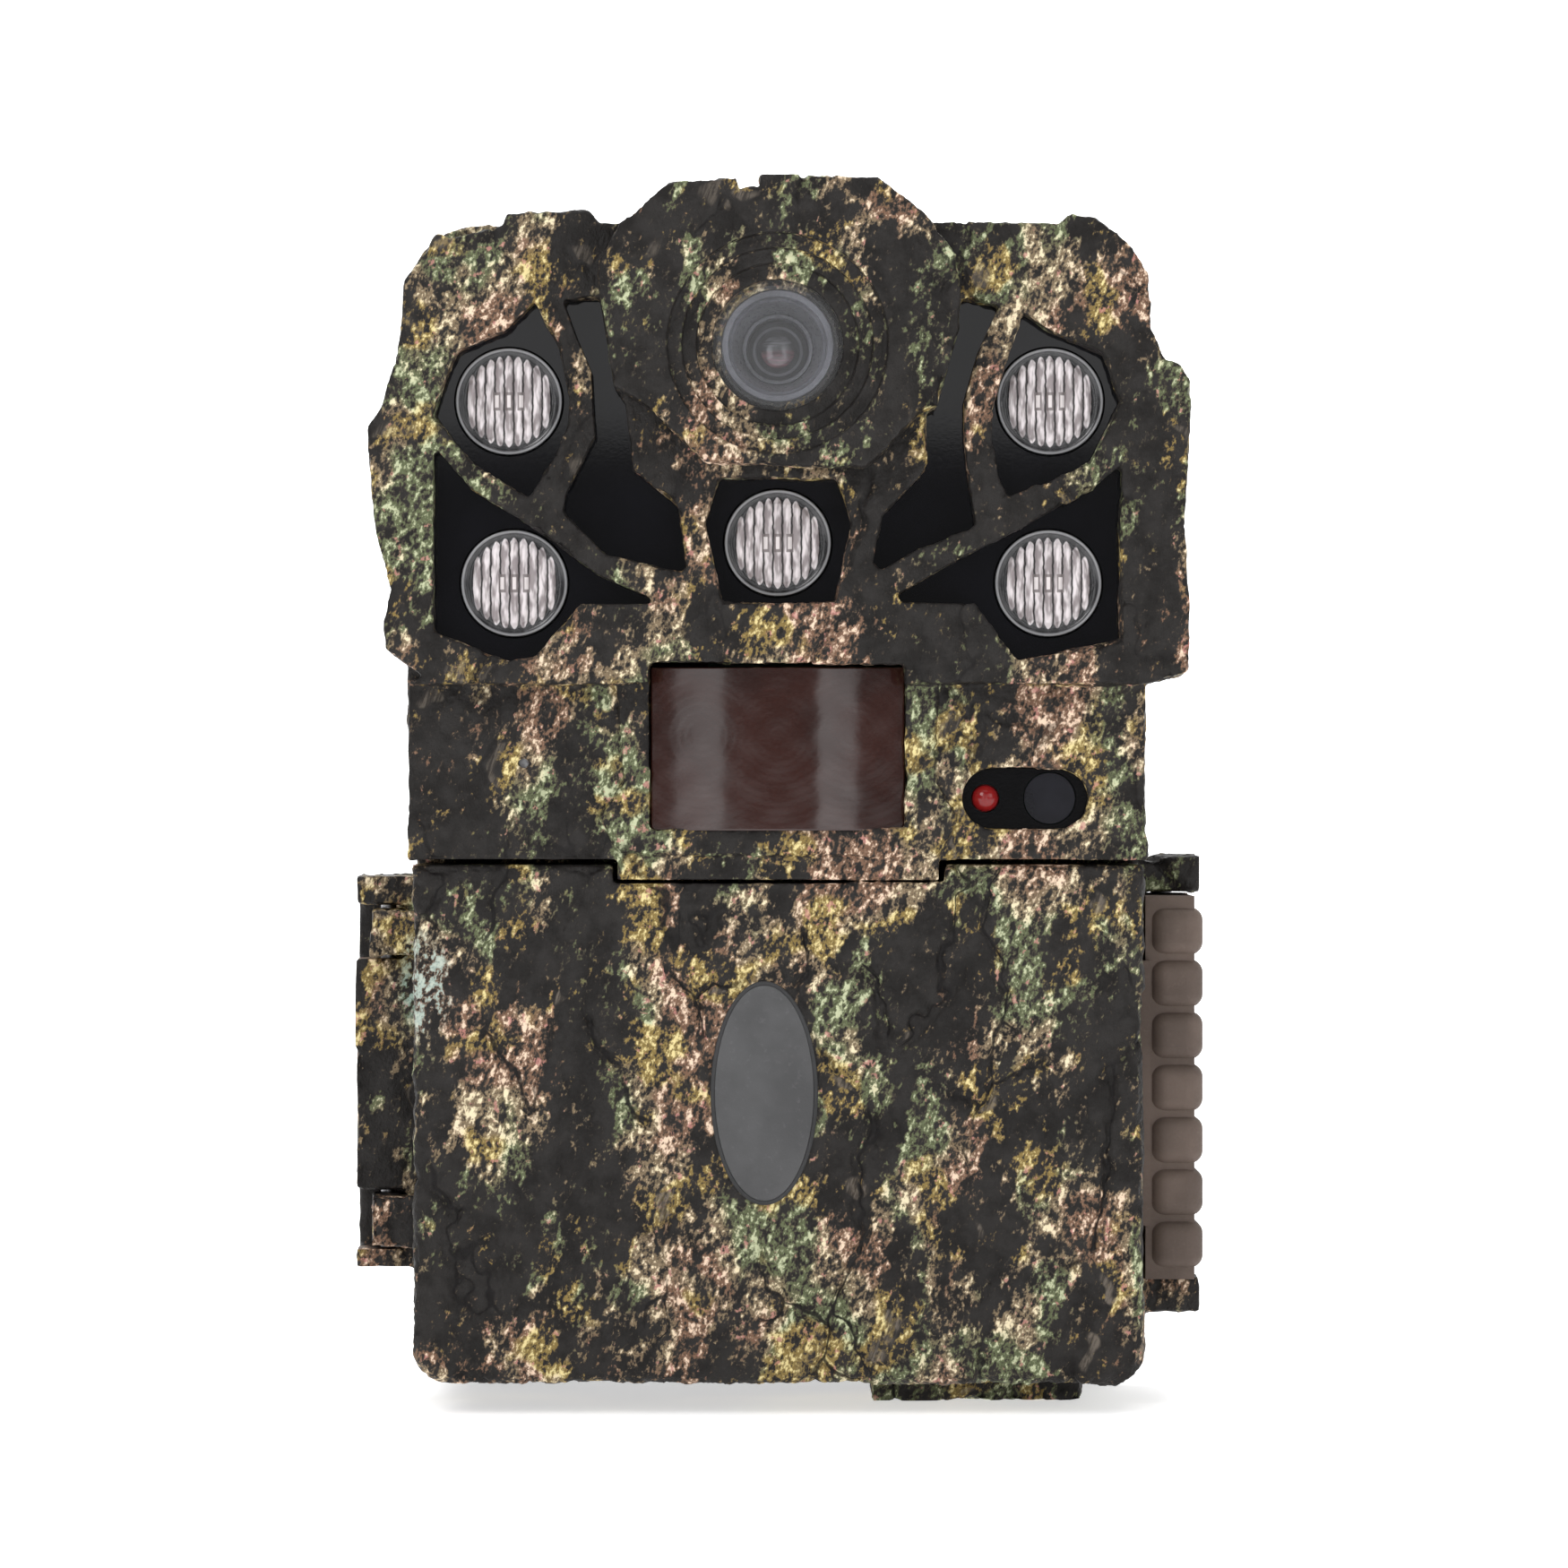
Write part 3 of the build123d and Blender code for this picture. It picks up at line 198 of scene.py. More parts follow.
def clear(name, tint, rough=0.04, ior=1.49):
    """Clear moulded plastic or glass, with a faint haze."""
    s = Shader(name)
    p = s.point()
    s.set(Base_Color=s.mix(s.noise(p, 0.9, 3, 0.6), tint, tuple(c * 0.96 for c in tint)))
    s.set(Transmission_Weight=1.0, IOR=ior)
    s.set(Roughness=s.ramp(s.noise(p, 1.4, 3, 0.6), 0.4, 0.7, rough, rough + 0.04))
    return s.material


def camo():
    """Printed bark: charcoal with ragged columns of cream, olive, lichen, rust and pink flecks, weathered
    wood beside some of the cracks, and painted shade down in the cracks."""
    s = Shader("camo_print")
    p = s.point()
    border, split, tone, grain = s.bark(p)
    outer = s.attribute("outer")
    wander = s.noise(p, 0.11, 3, 0.6, output=1)
    w = s.vector("MULTIPLY_ADD", wander, (7, 7, 10), p)
    lean = s.node("ShaderNodeVectorRotate", Vector=p, Angle=math.radians(-20))
    lean.rotation_type = "Y_AXIS"
    flake = s.noise(s.vector("MULTIPLY", lean.outputs[0], (1, 1, 0.55)), 0.85, 3, 0.6)
    grit = s.noise(s.vector("MULTIPLY", lean.outputs[0], (1, 1, 0.72)), 2.1, 2, 0.65)
    column = s.noise(s.vector("MULTIPLY", w, (1, 1, 0.34)), 0.105, 3, 0.55)
    ragged = s.noise(s.vector("MULTIPLY", lean.outputs[0], (1, 1, 0.6)), 0.26, 4, 0.65)
    spots = s.times(s.attribute("patch"), 0.15)
    cover = s.ramp(s.add(column, s.times(s.add(ragged, -0.5), 0.9), spots), 0.37, 0.63)
    value = s.add(s.times(flake, 1.15), s.times(grit, 0.95), -1.05, s.ramp(cover, 0, 1, -0.25, 0.055))
    hue = s.noise(s.vector("MULTIPLY", w, (1, 1, 0.6)), 0.085, 2, 0.5, 0.3)
    warm = s.noise(p, 0.13, 2, 0.5)
    tint = s.mix(s.ramp(hue, 0.40, 0.46), (0.170, 0.095, 0.060), (0.190, 0.140, 0.085))
    tint = s.mix(s.ramp(hue, 0.50, 0.56), tint, (0.100, 0.115, 0.058))
    tint = s.mix(s.ramp(warm, 0.53, 0.60), tint, (0.215, 0.150, 0.048))
    pale = s.mix(s.ramp(hue, 0.40, 0.50), (0.80, 0.61, 0.46), (0.80, 0.69, 0.47))
    pale = s.mix(s.ramp(hue, 0.52, 0.58), pale, (0.50, 0.53, 0.34))
    pale = s.mix(s.ramp(warm, 0.53, 0.60), pale, (0.74, 0.62, 0.30))
    charcoal = s.mix(s.ramp(s.noise(p, 0.3, 4, 0.6), 0.35, 0.65), (0.0095, 0.0082, 0.0075),
                     (0.0205, 0.0185, 0.0175))
    under = s.mix(s.ramp(value, -0.14, 0.01), charcoal, (0.045, 0.036, 0.028))
    print_ = s.mix(s.ramp(value, -0.05, 0.07), under, tint)
    print_ = s.mix(s.ramp(value, 0.10, 0.30), print_, pale)
    pink = s.times(s.ramp(s.noise(p, 0.75, 3, 0.6), 0.61, 0.67), s.ramp(value, -0.02, 0.08))
    print_ = s.mix(s.times(pink, 0.7), print_, (0.46, 0.20, 0.18))
    away = s.length(s.vector("MULTIPLY", s.vector("SUBTRACT", p, (-40, -22, 48)), (1 / 5, 1 / 16, 1 / 8)))
    frost = s.times(s.ramp(s.add(away, s.times(ragged, 0.9)), 1.05, 1.45, 1, 0),
                    s.ramp(value, 0.0, 0.16, 0, 0.75))
    print_ = s.mix(frost, print_, (0.34, 0.47, 0.43))
    lines = s.noise(s.vector("MULTIPLY", lean.outputs[0], (1, 1, 0.12)), 2.6, 3, 0.6)
    wood = s.mix(s.ramp(lines, 0.38, 0.62), (0.040, 0.033, 0.027), (0.155, 0.130, 0.105))
    strip = s.times(s.ramp(border, 0.35, 0.6), s.ramp(border, 1.0, 1.4, 1, 0))
    strip = s.times(s.times(strip, s.ramp(tone, 0.51, 0.55)), s.ramp(s.noise(p, 0.13, 1), 0.62, 0.66, 0, 0.8))
    print_ = s.mix(s.times(strip, outer), print_, wood)
    # painted shade: the carved cracks darkened almost to black where they are split open on outer faces
    crack_shade = s.times(s.times(s.ramp(border, 0.10, 0.28, 1, 0), split), outer)
    print_ = s.mix(s.times(crack_shade, 0.9), print_, (0.006, 0.005, 0.005))
    s.set(Base_Color=print_, Specular_IOR_Level=0.17)
    s.set(Roughness=s.ramp(flake, 0.35, 0.65, 0.46, 0.66))
    s.bump(s.add(s.times(flake, 0.55), s.times(grit, 0.45)), 0.75, 0.0005)
    return s.material


def ribbed_lamp():
    """Lamp lens: pale ribs with painted shade in the valleys between them and the three dies seen in the
    middle, inside a clear ring with a painted highlight on its rim."""
    s = Shader("ribbed_lamp")
    p = s.point()
    parts = s.node("ShaderNodeSeparateXYZ", Vector=p)
    x, z = parts.outputs["X"], parts.outputs["Z"]
    r = s.math("POWER", s.add(s.times(x, x), s.times(z, z)), 0.5)
    wobble = s.times(s.add(s.noise(s.vector("MULTIPLY", p, (0.6, 1, 1)), 1.1, 1), -0.5), 0.25)
    crest = s.math("ABSOLUTE", s.math("COSINE", s.times(s.add(x, wobble), math.pi / RIB_PITCH)))
    face = s.ramp(s.add(r, s.times(crest, -0.75)), 4.25, 4.45, 1, 0)
    # painted shade: dark lines in the valleys between the ribs
    valley_shade = s.ramp(crest, 0.16, 0.46)
    shade = s.noise(s.vector("MULTIPLY", p, (1.2, 1, 0.35)), 1.0, 2, 0.6)
    rib = s.mix(s.ramp(shade, 0.40, 0.62), (0.30, 0.265, 0.27), (0.80, 0.74, 0.755))
    core = s.mix(valley_shade, (0.030, 0.028, 0.028), rib)
    die = s.math("FRACT", s.math("DIVIDE", s.add(x, 1.5 * DIE_PITCH), DIE_PITCH))
    near = s.math("ABSOLUTE", s.math("SUBTRACT", die, 0.5))
    inside = s.times(s.ramp(near, 0.27, 0.33, 1, 0), s.ramp(s.math("ABSOLUTE", z), 0.95, 1.10, 1, 0))
    inside = s.times(inside, s.ramp(s.math("ABSOLUTE", x), 1.95, 2.02, 1, 0))
    heart = s.times(s.ramp(near, 0.13, 0.18, 1, 0), s.ramp(s.math("ABSOLUTE", z), 0.62, 0.75, 1, 0))
    core = s.mix(s.times(inside, 0.85), core, (0.16, 0.135, 0.135))
    core = s.mix(s.times(s.times(inside, heart), 0.9), core, (0.80, 0.74, 0.74))
    annulus = s.mix(s.ramp(shade, 0.35, 0.65), (0.022, 0.022, 0.024), (0.060, 0.060, 0.064))
    whole = s.mix(face, annulus, core)
    # painted highlight: a pale ring on the bevelled edge of the clear rim
    rim = s.times(s.ramp(r, 5.55, 5.68), s.ramp(r, 5.86, 5.95, 1, 0))
    whole = s.mix(s.times(rim, 0.75), whole, (0.30, 0.30, 0.31))
    s.set(Base_Color=whole, Roughness=0.12, Specular_IOR_Level=0.5)
    s.set(Transmission_Weight=s.times(s.ramp(face, 0, 1, 0.35, 0.0), s.ramp(r, 5.4, 5.6, 1, 0)))
    return s.material


def coated():
    """Coated front element: rings of the group behind it, a painted reddish glint low down and a painted grey
    reflection higher up.
    """
    s = Shader("coated_element")
    p = s.point()
    low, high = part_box("lens_element")
    centre = (low + high) / 2 / MM
    flat = s.vector("MULTIPLY", s.vector("SUBTRACT", p, tuple(centre)), (1, 0, 1))
    r = s.length(flat)
    height = s.node("ShaderNodeSeparateXYZ", Vector=flat).outputs["Z"]
    glass = s.mix(s.ramp(r, 1.9, 2.6), (0.035, 0.030, 0.034), (0.075, 0.075, 0.082))
    # painted glint: a reddish reflection in the coating, low on the element
    glint = s.times(s.ramp(r, 1.75, 1.95, 1, 0), s.ramp(s.add(height, s.noise(p, 0.9, 2)), -0.4, 0.9, 1, 0))
    streak = s.ramp(s.noise(s.vector("MULTIPLY", p, (0.25, 1, 2.2)), 1.2, 2), 0.44, 0.58)
    glass = s.mix(s.times(glint, s.ramp(streak, 0, 1, 0.45, 1.0)), glass, (0.40, 0.16, 0.18))
    # painted reflection: a pale grey sheen over the upper middle of the element
    painted_reflection = s.times(s.ramp(r, 1.7, 1.9, 1, 0), s.ramp(height, 0.1, 0.9))
    glass = s.mix(s.times(painted_reflection, streak), glass, (0.22, 0.22, 0.23))
    rim = s.times(s.ramp(r, 2.45, 2.55), s.ramp(r, 2.72, 2.86, 1, 0))
    glass = s.mix(s.times(rim, 0.8), glass, (0.36, 0.36, 0.38))
    s.set(Base_Color=glass, Roughness=0.06, Specular_IOR_Level=0.6, Coat_Weight=0.5, Coat_Roughness=0.03)
    return s.material


M = {
    "camo": camo(),
    "black": plastic("black_moulding", (0.016, 0.016, 0.017), 0.48),
    "taupe": plastic("taupe_rubber", (0.118, 0.088, 0.073), 0.66, wear=0.12, lift=1.15, shine=0.25),
    "rubber": plastic("seal_rubber", (0.018, 0.018, 0.018), 0.75),
    "steel": plastic("plated_steel", (0.36, 0.36, 0.37), 0.34, metal=1.0, wear=0.1, lift=1.1),
    "coated_steel": plastic("powder_coat", (0.020, 0.020, 0.021), 0.55, grain=1.6, bump=0.6),
    "brass": plastic("turned_brass", (0.62, 0.43, 0.16), 0.3, metal=1.0, wear=0.1, lift=1.1),
    "board": plastic("solder_mask", (0.012, 0.075, 0.035), 0.35, lift=1.2),
    "board_black": plastic("black_solder_mask", (0.010, 0.010, 0.012), 0.35),
    "chip": plastic("moulded_chip", (0.020, 0.020, 0.022), 0.5),
    "led": plastic("lamp_package", (0.62, 0.58, 0.58), 0.25, wear=0.05, lift=1.1),
    "badge": plastic("grey_badge", (0.072, 0.072, 0.074), 0.5, lift=1.1, shine=0.25),
    "sleeve": plastic("cell_sleeve", (0.03, 0.03, 0.032), 0.3),
    "film": plastic("polyimide", (0.40, 0.24, 0.07), 0.35, lift=1.15),
    "key": plastic("key_rubber", (0.07, 0.07, 0.072), 0.7),
    "card": plastic("card_plastic", (0.025, 0.035, 0.07), 0.4),
    "window": plastic("infrared_window", (0.0035, 0.0035, 0.0050), 0.05, wear=0.01, bump=0.01, lift=1.2,
                      shine=0.5),
    "pir": plastic("sensor_film", (0.024, 0.0070, 0.0050), 0.11, wear=0.02, bump=0.02, lift=1.2, shine=0.6),
    "red": plastic("red_epoxy", (0.20, 0.008, 0.009), 0.12, wear=0.05, bump=0.05, lift=1.2),
    "gloss": plastic("gloss_black", (0.0030, 0.0030, 0.0034), 0.10, wear=0.01, bump=0.03, lift=1.2,
                     shine=0.15),
    "cell": plastic("photocell", (0.009, 0.009, 0.012), 0.10, wear=0.02, bump=0.03, lift=1.5, shine=0.35),
    "screen": plastic("display_screen", (0.016, 0.020, 0.021), 0.10, wear=0.03, bump=0.02, lift=1.3),
    "die": plastic("lamp_die", (0.20, 0.17, 0.17), 0.2, wear=0.05, lift=1.1),
    "anodised": plastic("grey_anodised", (0.13, 0.13, 0.145), 0.30, wear=0.05, bump=0.05, shine=0.5),
    "coated": coated(),
    "lamp": ribbed_lamp(),
    "glass": clear("cover_glass", (0.96, 0.97, 1.0), 0.02, 1.5),
    "filter": clear("filter_glass", (0.62, 0.80, 0.86), 0.02, 1.5),
}

finish = {
    "rubber": ["door_gasket"],
    "brass": ["tripod_insert"],
    "steel": ["case_screws", "board_screws", "liner_screws", "hinge_pin", "latch_pin", "bracket_screws",
              "pir_sensor", "microphone", "sd_socket", "battery_contacts"],
    "window": ["ir_window"],
    "board_black": ["ir_led_board"],
    "chip": ["image_sensor", "main_board_components", "display_module", "tact_switches", "power_switch_body"],
    "cell": ["light_sensor"],
    "glass": ["lens_window"],
    "screen": ["display_cover"],
    "filter": ["ir_cut_filter"],
    "black": ["lens_mount", "door_liner", "control_panel", "battery_tray", "dc_jack"],
    "gloss": ["eye_bezel"],
    "board": ["image_sensor_board", "main_board", "sensor_board", "control_board"],
    "red": ["status_led"],
    "taupe": ["latch_lever"],
    "card": ["sd_card"],
    "key": ["button_up", "button_down", "button_left", "button_right", "button_enter", "power_switch",
            "jack_plug"],
    "film": ["ribbon_cable"],
    "sleeve": ["battery_cells"],
    "coated_steel": ["strap_bracket"],
}
for kind, names in finish.items():
    for name in names:
        nodes[name].data.materials.clear()
        nodes[name].data.materials.append(M[kind])

# ---------------------------------------------------------------- carved shells
every_point, every_face = [], []
for node in nodes.values():
    start = len(every_point)
    every_point += [node.matrix_world @ v.co for v in node.data.vertices]
    every_face += [[start + i for i in face.vertices] for face in node.data.polygons]
surroundings = BVHTree.FromPolygons(every_point, every_face)


def bark_relief():
    """Geometry nodes that push a surface along its normal by the bark's height, where it's outer."""
    tree = bpy.data.node_groups.new("bark_relief", "GeometryNodeTree")
    tree.interface.new_socket("Geometry", in_out="INPUT", socket_type="NodeSocketGeometry")
    tree.interface.new_socket("Geometry", in_out="OUTPUT", socket_type="NodeSocketGeometry")
    g = Graph(tree)
    start, end = g.node("NodeGroupInput"), g.node("NodeGroupOutput")
    p = g.vector("MULTIPLY", g.node("GeometryNodeInputPosition").outputs[0], (1000, 1000, 1000))
    border, split, tone, grain = g.bark(p)
    lumps = g.noise(g.vector("MULTIPLY", p, (1, 1, 0.6)), 0.55, 3, 0.6)
    height = g.add(
        g.times(g.times(g.add(tone, -0.5), g.ramp(border, 0.0, 1.1)), 1.3),
        g.times(g.times(g.ramp(border, 0.15, 0.62, 1, 0), split), -0.48),
        g.times(g.add(grain, -0.5), 1.1),
        g.times(g.add(lumps, -0.5), 0.9),
        -0.08,
    )
    outer = g.node("GeometryNodeInputNamedAttribute", Name="outer")
    outer.data_type = "FLOAT"
    push = g.times(g.times(height, outer.outputs[0]), MM)
    normal = g.node("GeometryNodeInputNormal").outputs[0]
    moved = g.node("GeometryNodeSetPosition", Geometry=start.outputs[0],
                   Offset=g.vector("MULTIPLY", normal, push))
    g.feed(end.inputs[0], moved.outputs[0])
    return tree


def applied(ob, kind, **settings):
    """ob with one modifier applied."""
    modifier = ob.modifiers.new(kind, kind)
    for key, value in settings.items():
        setattr(modifier, key, value)
    graph = bpy.context.evaluated_depsgraph_get()
    made = bpy.data.meshes.new_from_object(ob.evaluated_get(graph))
    ob.modifiers.clear()
    ob.data = made


def placed(name, mesh, material, node, body, at=(0, 0, 0)):
    """A new piece that stands for a CAD node."""
    ob = bpy.data.objects.new(name, mesh)
    bpy.context.collection.objects.link(ob)
    ob.location = at
    ob.data.materials.clear()
    ob.data.materials.append(material)
    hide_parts(node)
    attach(ob, body)


def mesh_of(name, points, faces, at=(0, 0, 0), smooth=True):
    """A mesh from points in mm, placed at a point in metres."""
    mesh = bpy.data.meshes.new(name)
    mesh.from_pydata([tuple(c * MM + o for c, o in zip(p, at)) for p in points], [], faces)
    mesh.validate()
    mesh.polygons.foreach_set("use_smooth", [smooth] * len(mesh.polygons))
    return mesh


def numbers(collection, key, width=3):
    """One attribute of a mesh's points or edges as an array, one row each."""
    flat = np.empty(len(collection) * width, dtype=np.float32 if width != 2 else np.int32)
    collection.foreach_get(key, flat)
    return flat.reshape(-1, width)


# where the print runs pale (+) or stays bare charcoal (-): x, z, half width, half height, strength
PATCHES = [
    (-31, 56, 5, 4, 0.9), (-16, 50, 5, 9, 0.9), (-7, 54, 7, 8, 0.8), (10, 57, 10, 6, 1.0),
    (-39, 47, 4, 7, 1.1), (-28, 42, 4, 6, 0.9), (-11, 37, 6, 10, 1.0), (10, 38, 7, 9, 0.9),
    (23, 30, 6, 5, 1.0), (31, 43, 4, 10, 0.6), (-31, 33, 6, 4, 0.8), (-6, 22, 6, 12, 1.0),
    (13, 24, 5, 10, 0.8), (26, 10, 7, 6, 0.8), (-17, 12, 8, 7, 0.8), (4, 8, 8, 5, 0.7),
    (36, 18, 3, 10, 0.6), (-22, 38, 3, 14, -1.2), (-27, 51, 4, 5, -1.0), (-33, 19, 5, 8, -1.1),
    (18, 47, 6, 10, -1.1), (26, 53, 6, 6, -0.7), (1, 40, 4, 12, -0.7), (20, 17, 4, 8, -0.9),
    (-38, 36, 3, 6, -0.9), (-37, 72, 6, 8, -0.7), (-29, 67, 4, 6, 0.8), (-20, 70, 4, 6, 0.5),
    (0, 62.5, 17, 2, 0.8), (0, 85, 16, 3, 0.7), (34, 77, 6, 6, 0.9), (22, 72, 3, 7, 0.8),
    (38, 66, 4, 4, 0.7), (-35, 122, 6, 8, 1.0), (-30, 128, 6, 3, 0.9), (-24, 131, 6, 4, -1.3),
    (-24, 105, 5, 14, -1.1), (24, 105, 4, 14, -0.6), (-11, 131, 7, 6, -1.3), (-14, 118, 4, 8, -0.9),
    (-14, 106, 4, 5, 0.9), (0, 108, 12, 3, 0.9), (14, 130, 6, 6, 0.5), (16, 118, 3, 8, 0.9),
    (5, 133, 6, 3, -0.9), (12, 109, 4, 5, -0.7), (36, 127, 6, 5, 1.1), (28, 128, 5, 5, 0.5),
    (42, 100, 3, 14, -0.8), (-42, 103, 3, 12, 0.9), (-40, 90, 4, 5, -0.8), (36, 93, 4, 5, 0.5),
    (0, 126, 12, 3, 0.4), (-19, 88, 4, 4, -0.9),
]


def patch_map(points):
    """Sum of the soft spots at each point, -1.2 to 1.2."""
    total = np.zeros(len(points))
    for x, z, wide, tall, strength in PATCHES:
        away = ((points[:, 0] / MM - x) / wide) ** 2 + ((points[:, 2] / MM - z) / tall) ** 2
        total += strength * np.exp(-1.1 * away)
    return np.clip(total, -1.2, 1.2).astype(np.float32)


relief = bark_relief()
box_low, box_high = [np.array(corner) for corner in cad_box]
pins = [(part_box(pin)[0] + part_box(pin)[1]) / 2 for pin in ("hinge_pin", "latch_pin")]


def carve(node, voxel, triangles, body, clear_of=5.0, depth=1.0):
    """The CAD shell as one fine mesh with bark relief on every face that looks out into the open."""
    source = nodes[node]
    ob = bpy.data.objects.new(node + "_carved", source.data.copy())
    bpy.context.collection.objects.link(ob)
    ob.data.transform(source.matrix_world)
    applied(ob, "REMESH", mode="VOXEL", voxel_size=voxel * MM * 1)
    mesh = ob.data
    points, normals = numbers(mesh.vertices, "co"), numbers(mesh.vertices, "normal")
    outer = np.zeros(len(points), dtype=np.float32)
    for i, (co, n) in enumerate(zip(points.tolist(), normals.tolist())):
        ray = Vector(n)
        if surroundings.ray_cast(Vector(co) + ray * 0.35 * MM, ray, clear_of * MM)[0] is None:
            outer[i] = 1.0
    if node == "door_shell":
        low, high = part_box("door_badge")
        round_badge = np.hypot((points[:, 0] - (low.x + high.x) / 2) / (high.x - low.x) * 2,
                               (points[:, 2] - (low.z + high.z) / 2) / (high.z - low.z) * 2)
        outer *= np.where(points[:, 1] < high.y + 0.5 * MM, np.clip((round_badge - 1.03) / 0.1, 0, 1), 1)
    if node == "lens_hood":
        low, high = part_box("lens_window")
        ring = np.hypot(points[:, 0], points[:, 2] - (low.z + high.z) / 2) / MM
        outer *= np.clip((ring - 12.6) / 1.2, 0, 1)
    outer *= depth
    for pin in pins:
        away = np.hypot(points[:, 0] - pin.x, points[:, 1] - pin.y) / MM
        outer *= np.clip((away - 3.4) / 1.5, 0, 1)
    edges = numbers(mesh.edges, "vertices", 2)
    share = np.bincount(edges.ravel(), minlength=len(points))
    for _ in range(3):
        total = np.bincount(edges[:, 0], outer[edges[:, 1]], len(points))
        total += np.bincount(edges[:, 1], outer[edges[:, 0]], len(points))
        outer = (0.4 * outer + 0.6 * total / share).astype(np.float32)
    mesh.attributes.new("outer", "FLOAT", "POINT").data.foreach_set("value", outer)
    mesh.attributes.new("patch", "FLOAT", "POINT").data.foreach_set("value", patch_map(points))
    applied(ob, "NODES", node_group=relief)
    mesh = ob.data
    points = np.clip(numbers(mesh.vertices, "co"), box_low, box_high).astype(np.float32)
    mesh.vertices.foreach_set("co", points.ravel())
    count = sum(len(face.vertices) - 2 for face in mesh.polygons)
    if count > triangles:
        applied(ob, "DECIMATE", ratio=triangles / count)
    mesh = ob.data
    mesh.polygons.foreach_set("use_smooth", [True] * len(mesh.polygons))
    mesh.materials.clear()
    mesh.materials.append(M["camo"])
    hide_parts(node)
    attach(ob, body)


carve("front_shell", 0.27, 190000, "camera", depth=0.62)
carve("lens_hood", 0.22, 150000, "camera", 2.5, depth=0.7)
carve("door_shell", 0.30, 180000, "door")
carve("rear_housing", 0.5, 180000, "camera")


# ---------------------------------------------------------------- door badge
low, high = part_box("door_badge")
centre = (low + high) / 2
badge_half_w, badge_half_h = (high.x - low.x) / 2 / MM, (high.z - low.z) / 2 / MM


def hoops(loops, turns, closed=True):
    """Mesh data of rings about Y, each (half width, half height, y) and joined to the next; closed joins
    the last to the first."""
    turn = [2 * math.pi * j / turns for j in range(turns)]
    points = [(wide * math.cos(a), y, tall * math.sin(a)) for wide, tall, y in loops for a in turn]
    faces = []
    for k in range(len(loops) if closed else len(loops) - 1):
        n = (k + 1) % len(loops)
        for j in range(turns):
            m = (j + 1) % turns
            faces.append((k * turns + j, k * turns + m, n * turns + m, n * turns + j))
    return points, faces


def oval(inset_out, inset_in, front, back, turns=120):
    """A closed oval band, or a plate if inset_in is None, with a softened front edge."""
    profile = [(inset_out, back), (inset_out, front + 0.05), (inset_out + 0.06, front)]
    if inset_in is not None:
        profile += [(inset_in - 0.05, front), (inset_in, front + 0.05), (inset_in, back)]
    loops = [(badge_half_w - inset, badge_half_h - inset, y) for inset, y in profile]
    points, faces = hoops(loops, turns, closed=inset_in is not None)
    if inset_in is None:
        faces += [tuple(range(turns)), tuple(range(3 * turns - 1, 2 * turns - 1, -1))]
    return points, faces


front, back, at = low.y / MM, high.y / MM, (centre.x, 0, centre.z)
rim = 0.45
plate = mesh_of("badge_plate", *oval(rim, None, front + 0.06, back), at, smooth=False)
band = mesh_of("badge_rim", *oval(0.0, rim, front, back), at, smooth=False)
placed("badge_plate", plate, M["badge"], "door_badge", "door")
placed("badge_rim", band, M["black"], "door_badge", "door")


# ---------------------------------------------------------------- lamp lenses
def rings(profile, turns, shape=None):
    """Mesh data of a closed solid of revolution about Y: profile is [(radius, y)] from axis to axis,
    shape(x, z, y, k) may move a point of ring k."""
    points, faces = [(0, profile[0][1], 0)], []
    for k, (radius, y) in enumerate(profile[1:-1], 1):
        for j in range(turns):
            x, z = radius * math.cos(2 * math.pi * j / turns), radius * math.sin(2 * math.pi * j / turns)
            points.append((x, shape(x, z, y, k) if shape else y, z))
    points.append((0, profile[-1][1], 0))
    count = len(profile) - 2
    last = len(points) - 1
    for j in range(turns):
        n = (j + 1) % turns
        faces.append((0, 1 + n, 1 + j))
        for k in range(count - 1):
            a, b = 1 + k * turns, 1 + (k + 1) * turns
            faces.append((a + j, a + n, b + n, b + j))
        faces.append((last, last - turns + j, last - turns + n))
    return points, faces


steps = 46
face_r, rim_r, flange_r, rib_depth = 4.9, 5.98, 6.95, 0.34
window_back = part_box("ir_window")[1].y / MM


def ribbed(x, z, y, ring):
    """Ribs across the face, ring by ring, that end in points at its edge."""
    if ring >= steps:
        return y
    crest = abs(math.cos(math.pi * x / RIB_PITCH))
    fade = min(1.0, max(0.0, (face_r - math.hypot(x, z)) / 0.5))
    return y + rib_depth * (1 - fade * crest ** 0.6)


for k in range(1, 6):
    name = f"ir_lens_{k}"
    low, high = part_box(name)
    middle = (low + high) / 2
    front_y, back_y = low.y / MM, high.y / MM
    face_y = front_y + 0.05
    profile = [(0, face_y)]
    profile += [(face_r * j / steps, face_y) for j in range(1, steps)]
    profile += [(face_r, face_y + rib_depth), (face_r + 0.5, face_y + rib_depth),
                (rim_r - 0.35, front_y + 0.2), (rim_r - 0.25, front_y), (rim_r - 0.06, front_y + 0.06),
                (rim_r, front_y + 0.25), (rim_r, window_back + 0.1), (flange_r, window_back + 0.1),
                (flange_r, back_y), (0, back_y)]
    mesh = mesh_of(name + "_ribbed", *rings(profile, 220, ribbed))
    placed(name + "_ribbed", mesh, M["lamp"], name, "camera", (middle.x, 0, middle.z))

# ---------------------------------------------------------------- lamp cups and dies
cup_points, cup_faces, die_points, die_faces = [], [], [], []


def joined(points, faces, more_points, more_faces, at):
    """Adds one solid to a mesh's lists."""
    start = len(points)
    points += [tuple(c + o for c, o in zip(p, at)) for p in more_points]
    faces += [tuple(start + i for i in face) for face in more_faces]


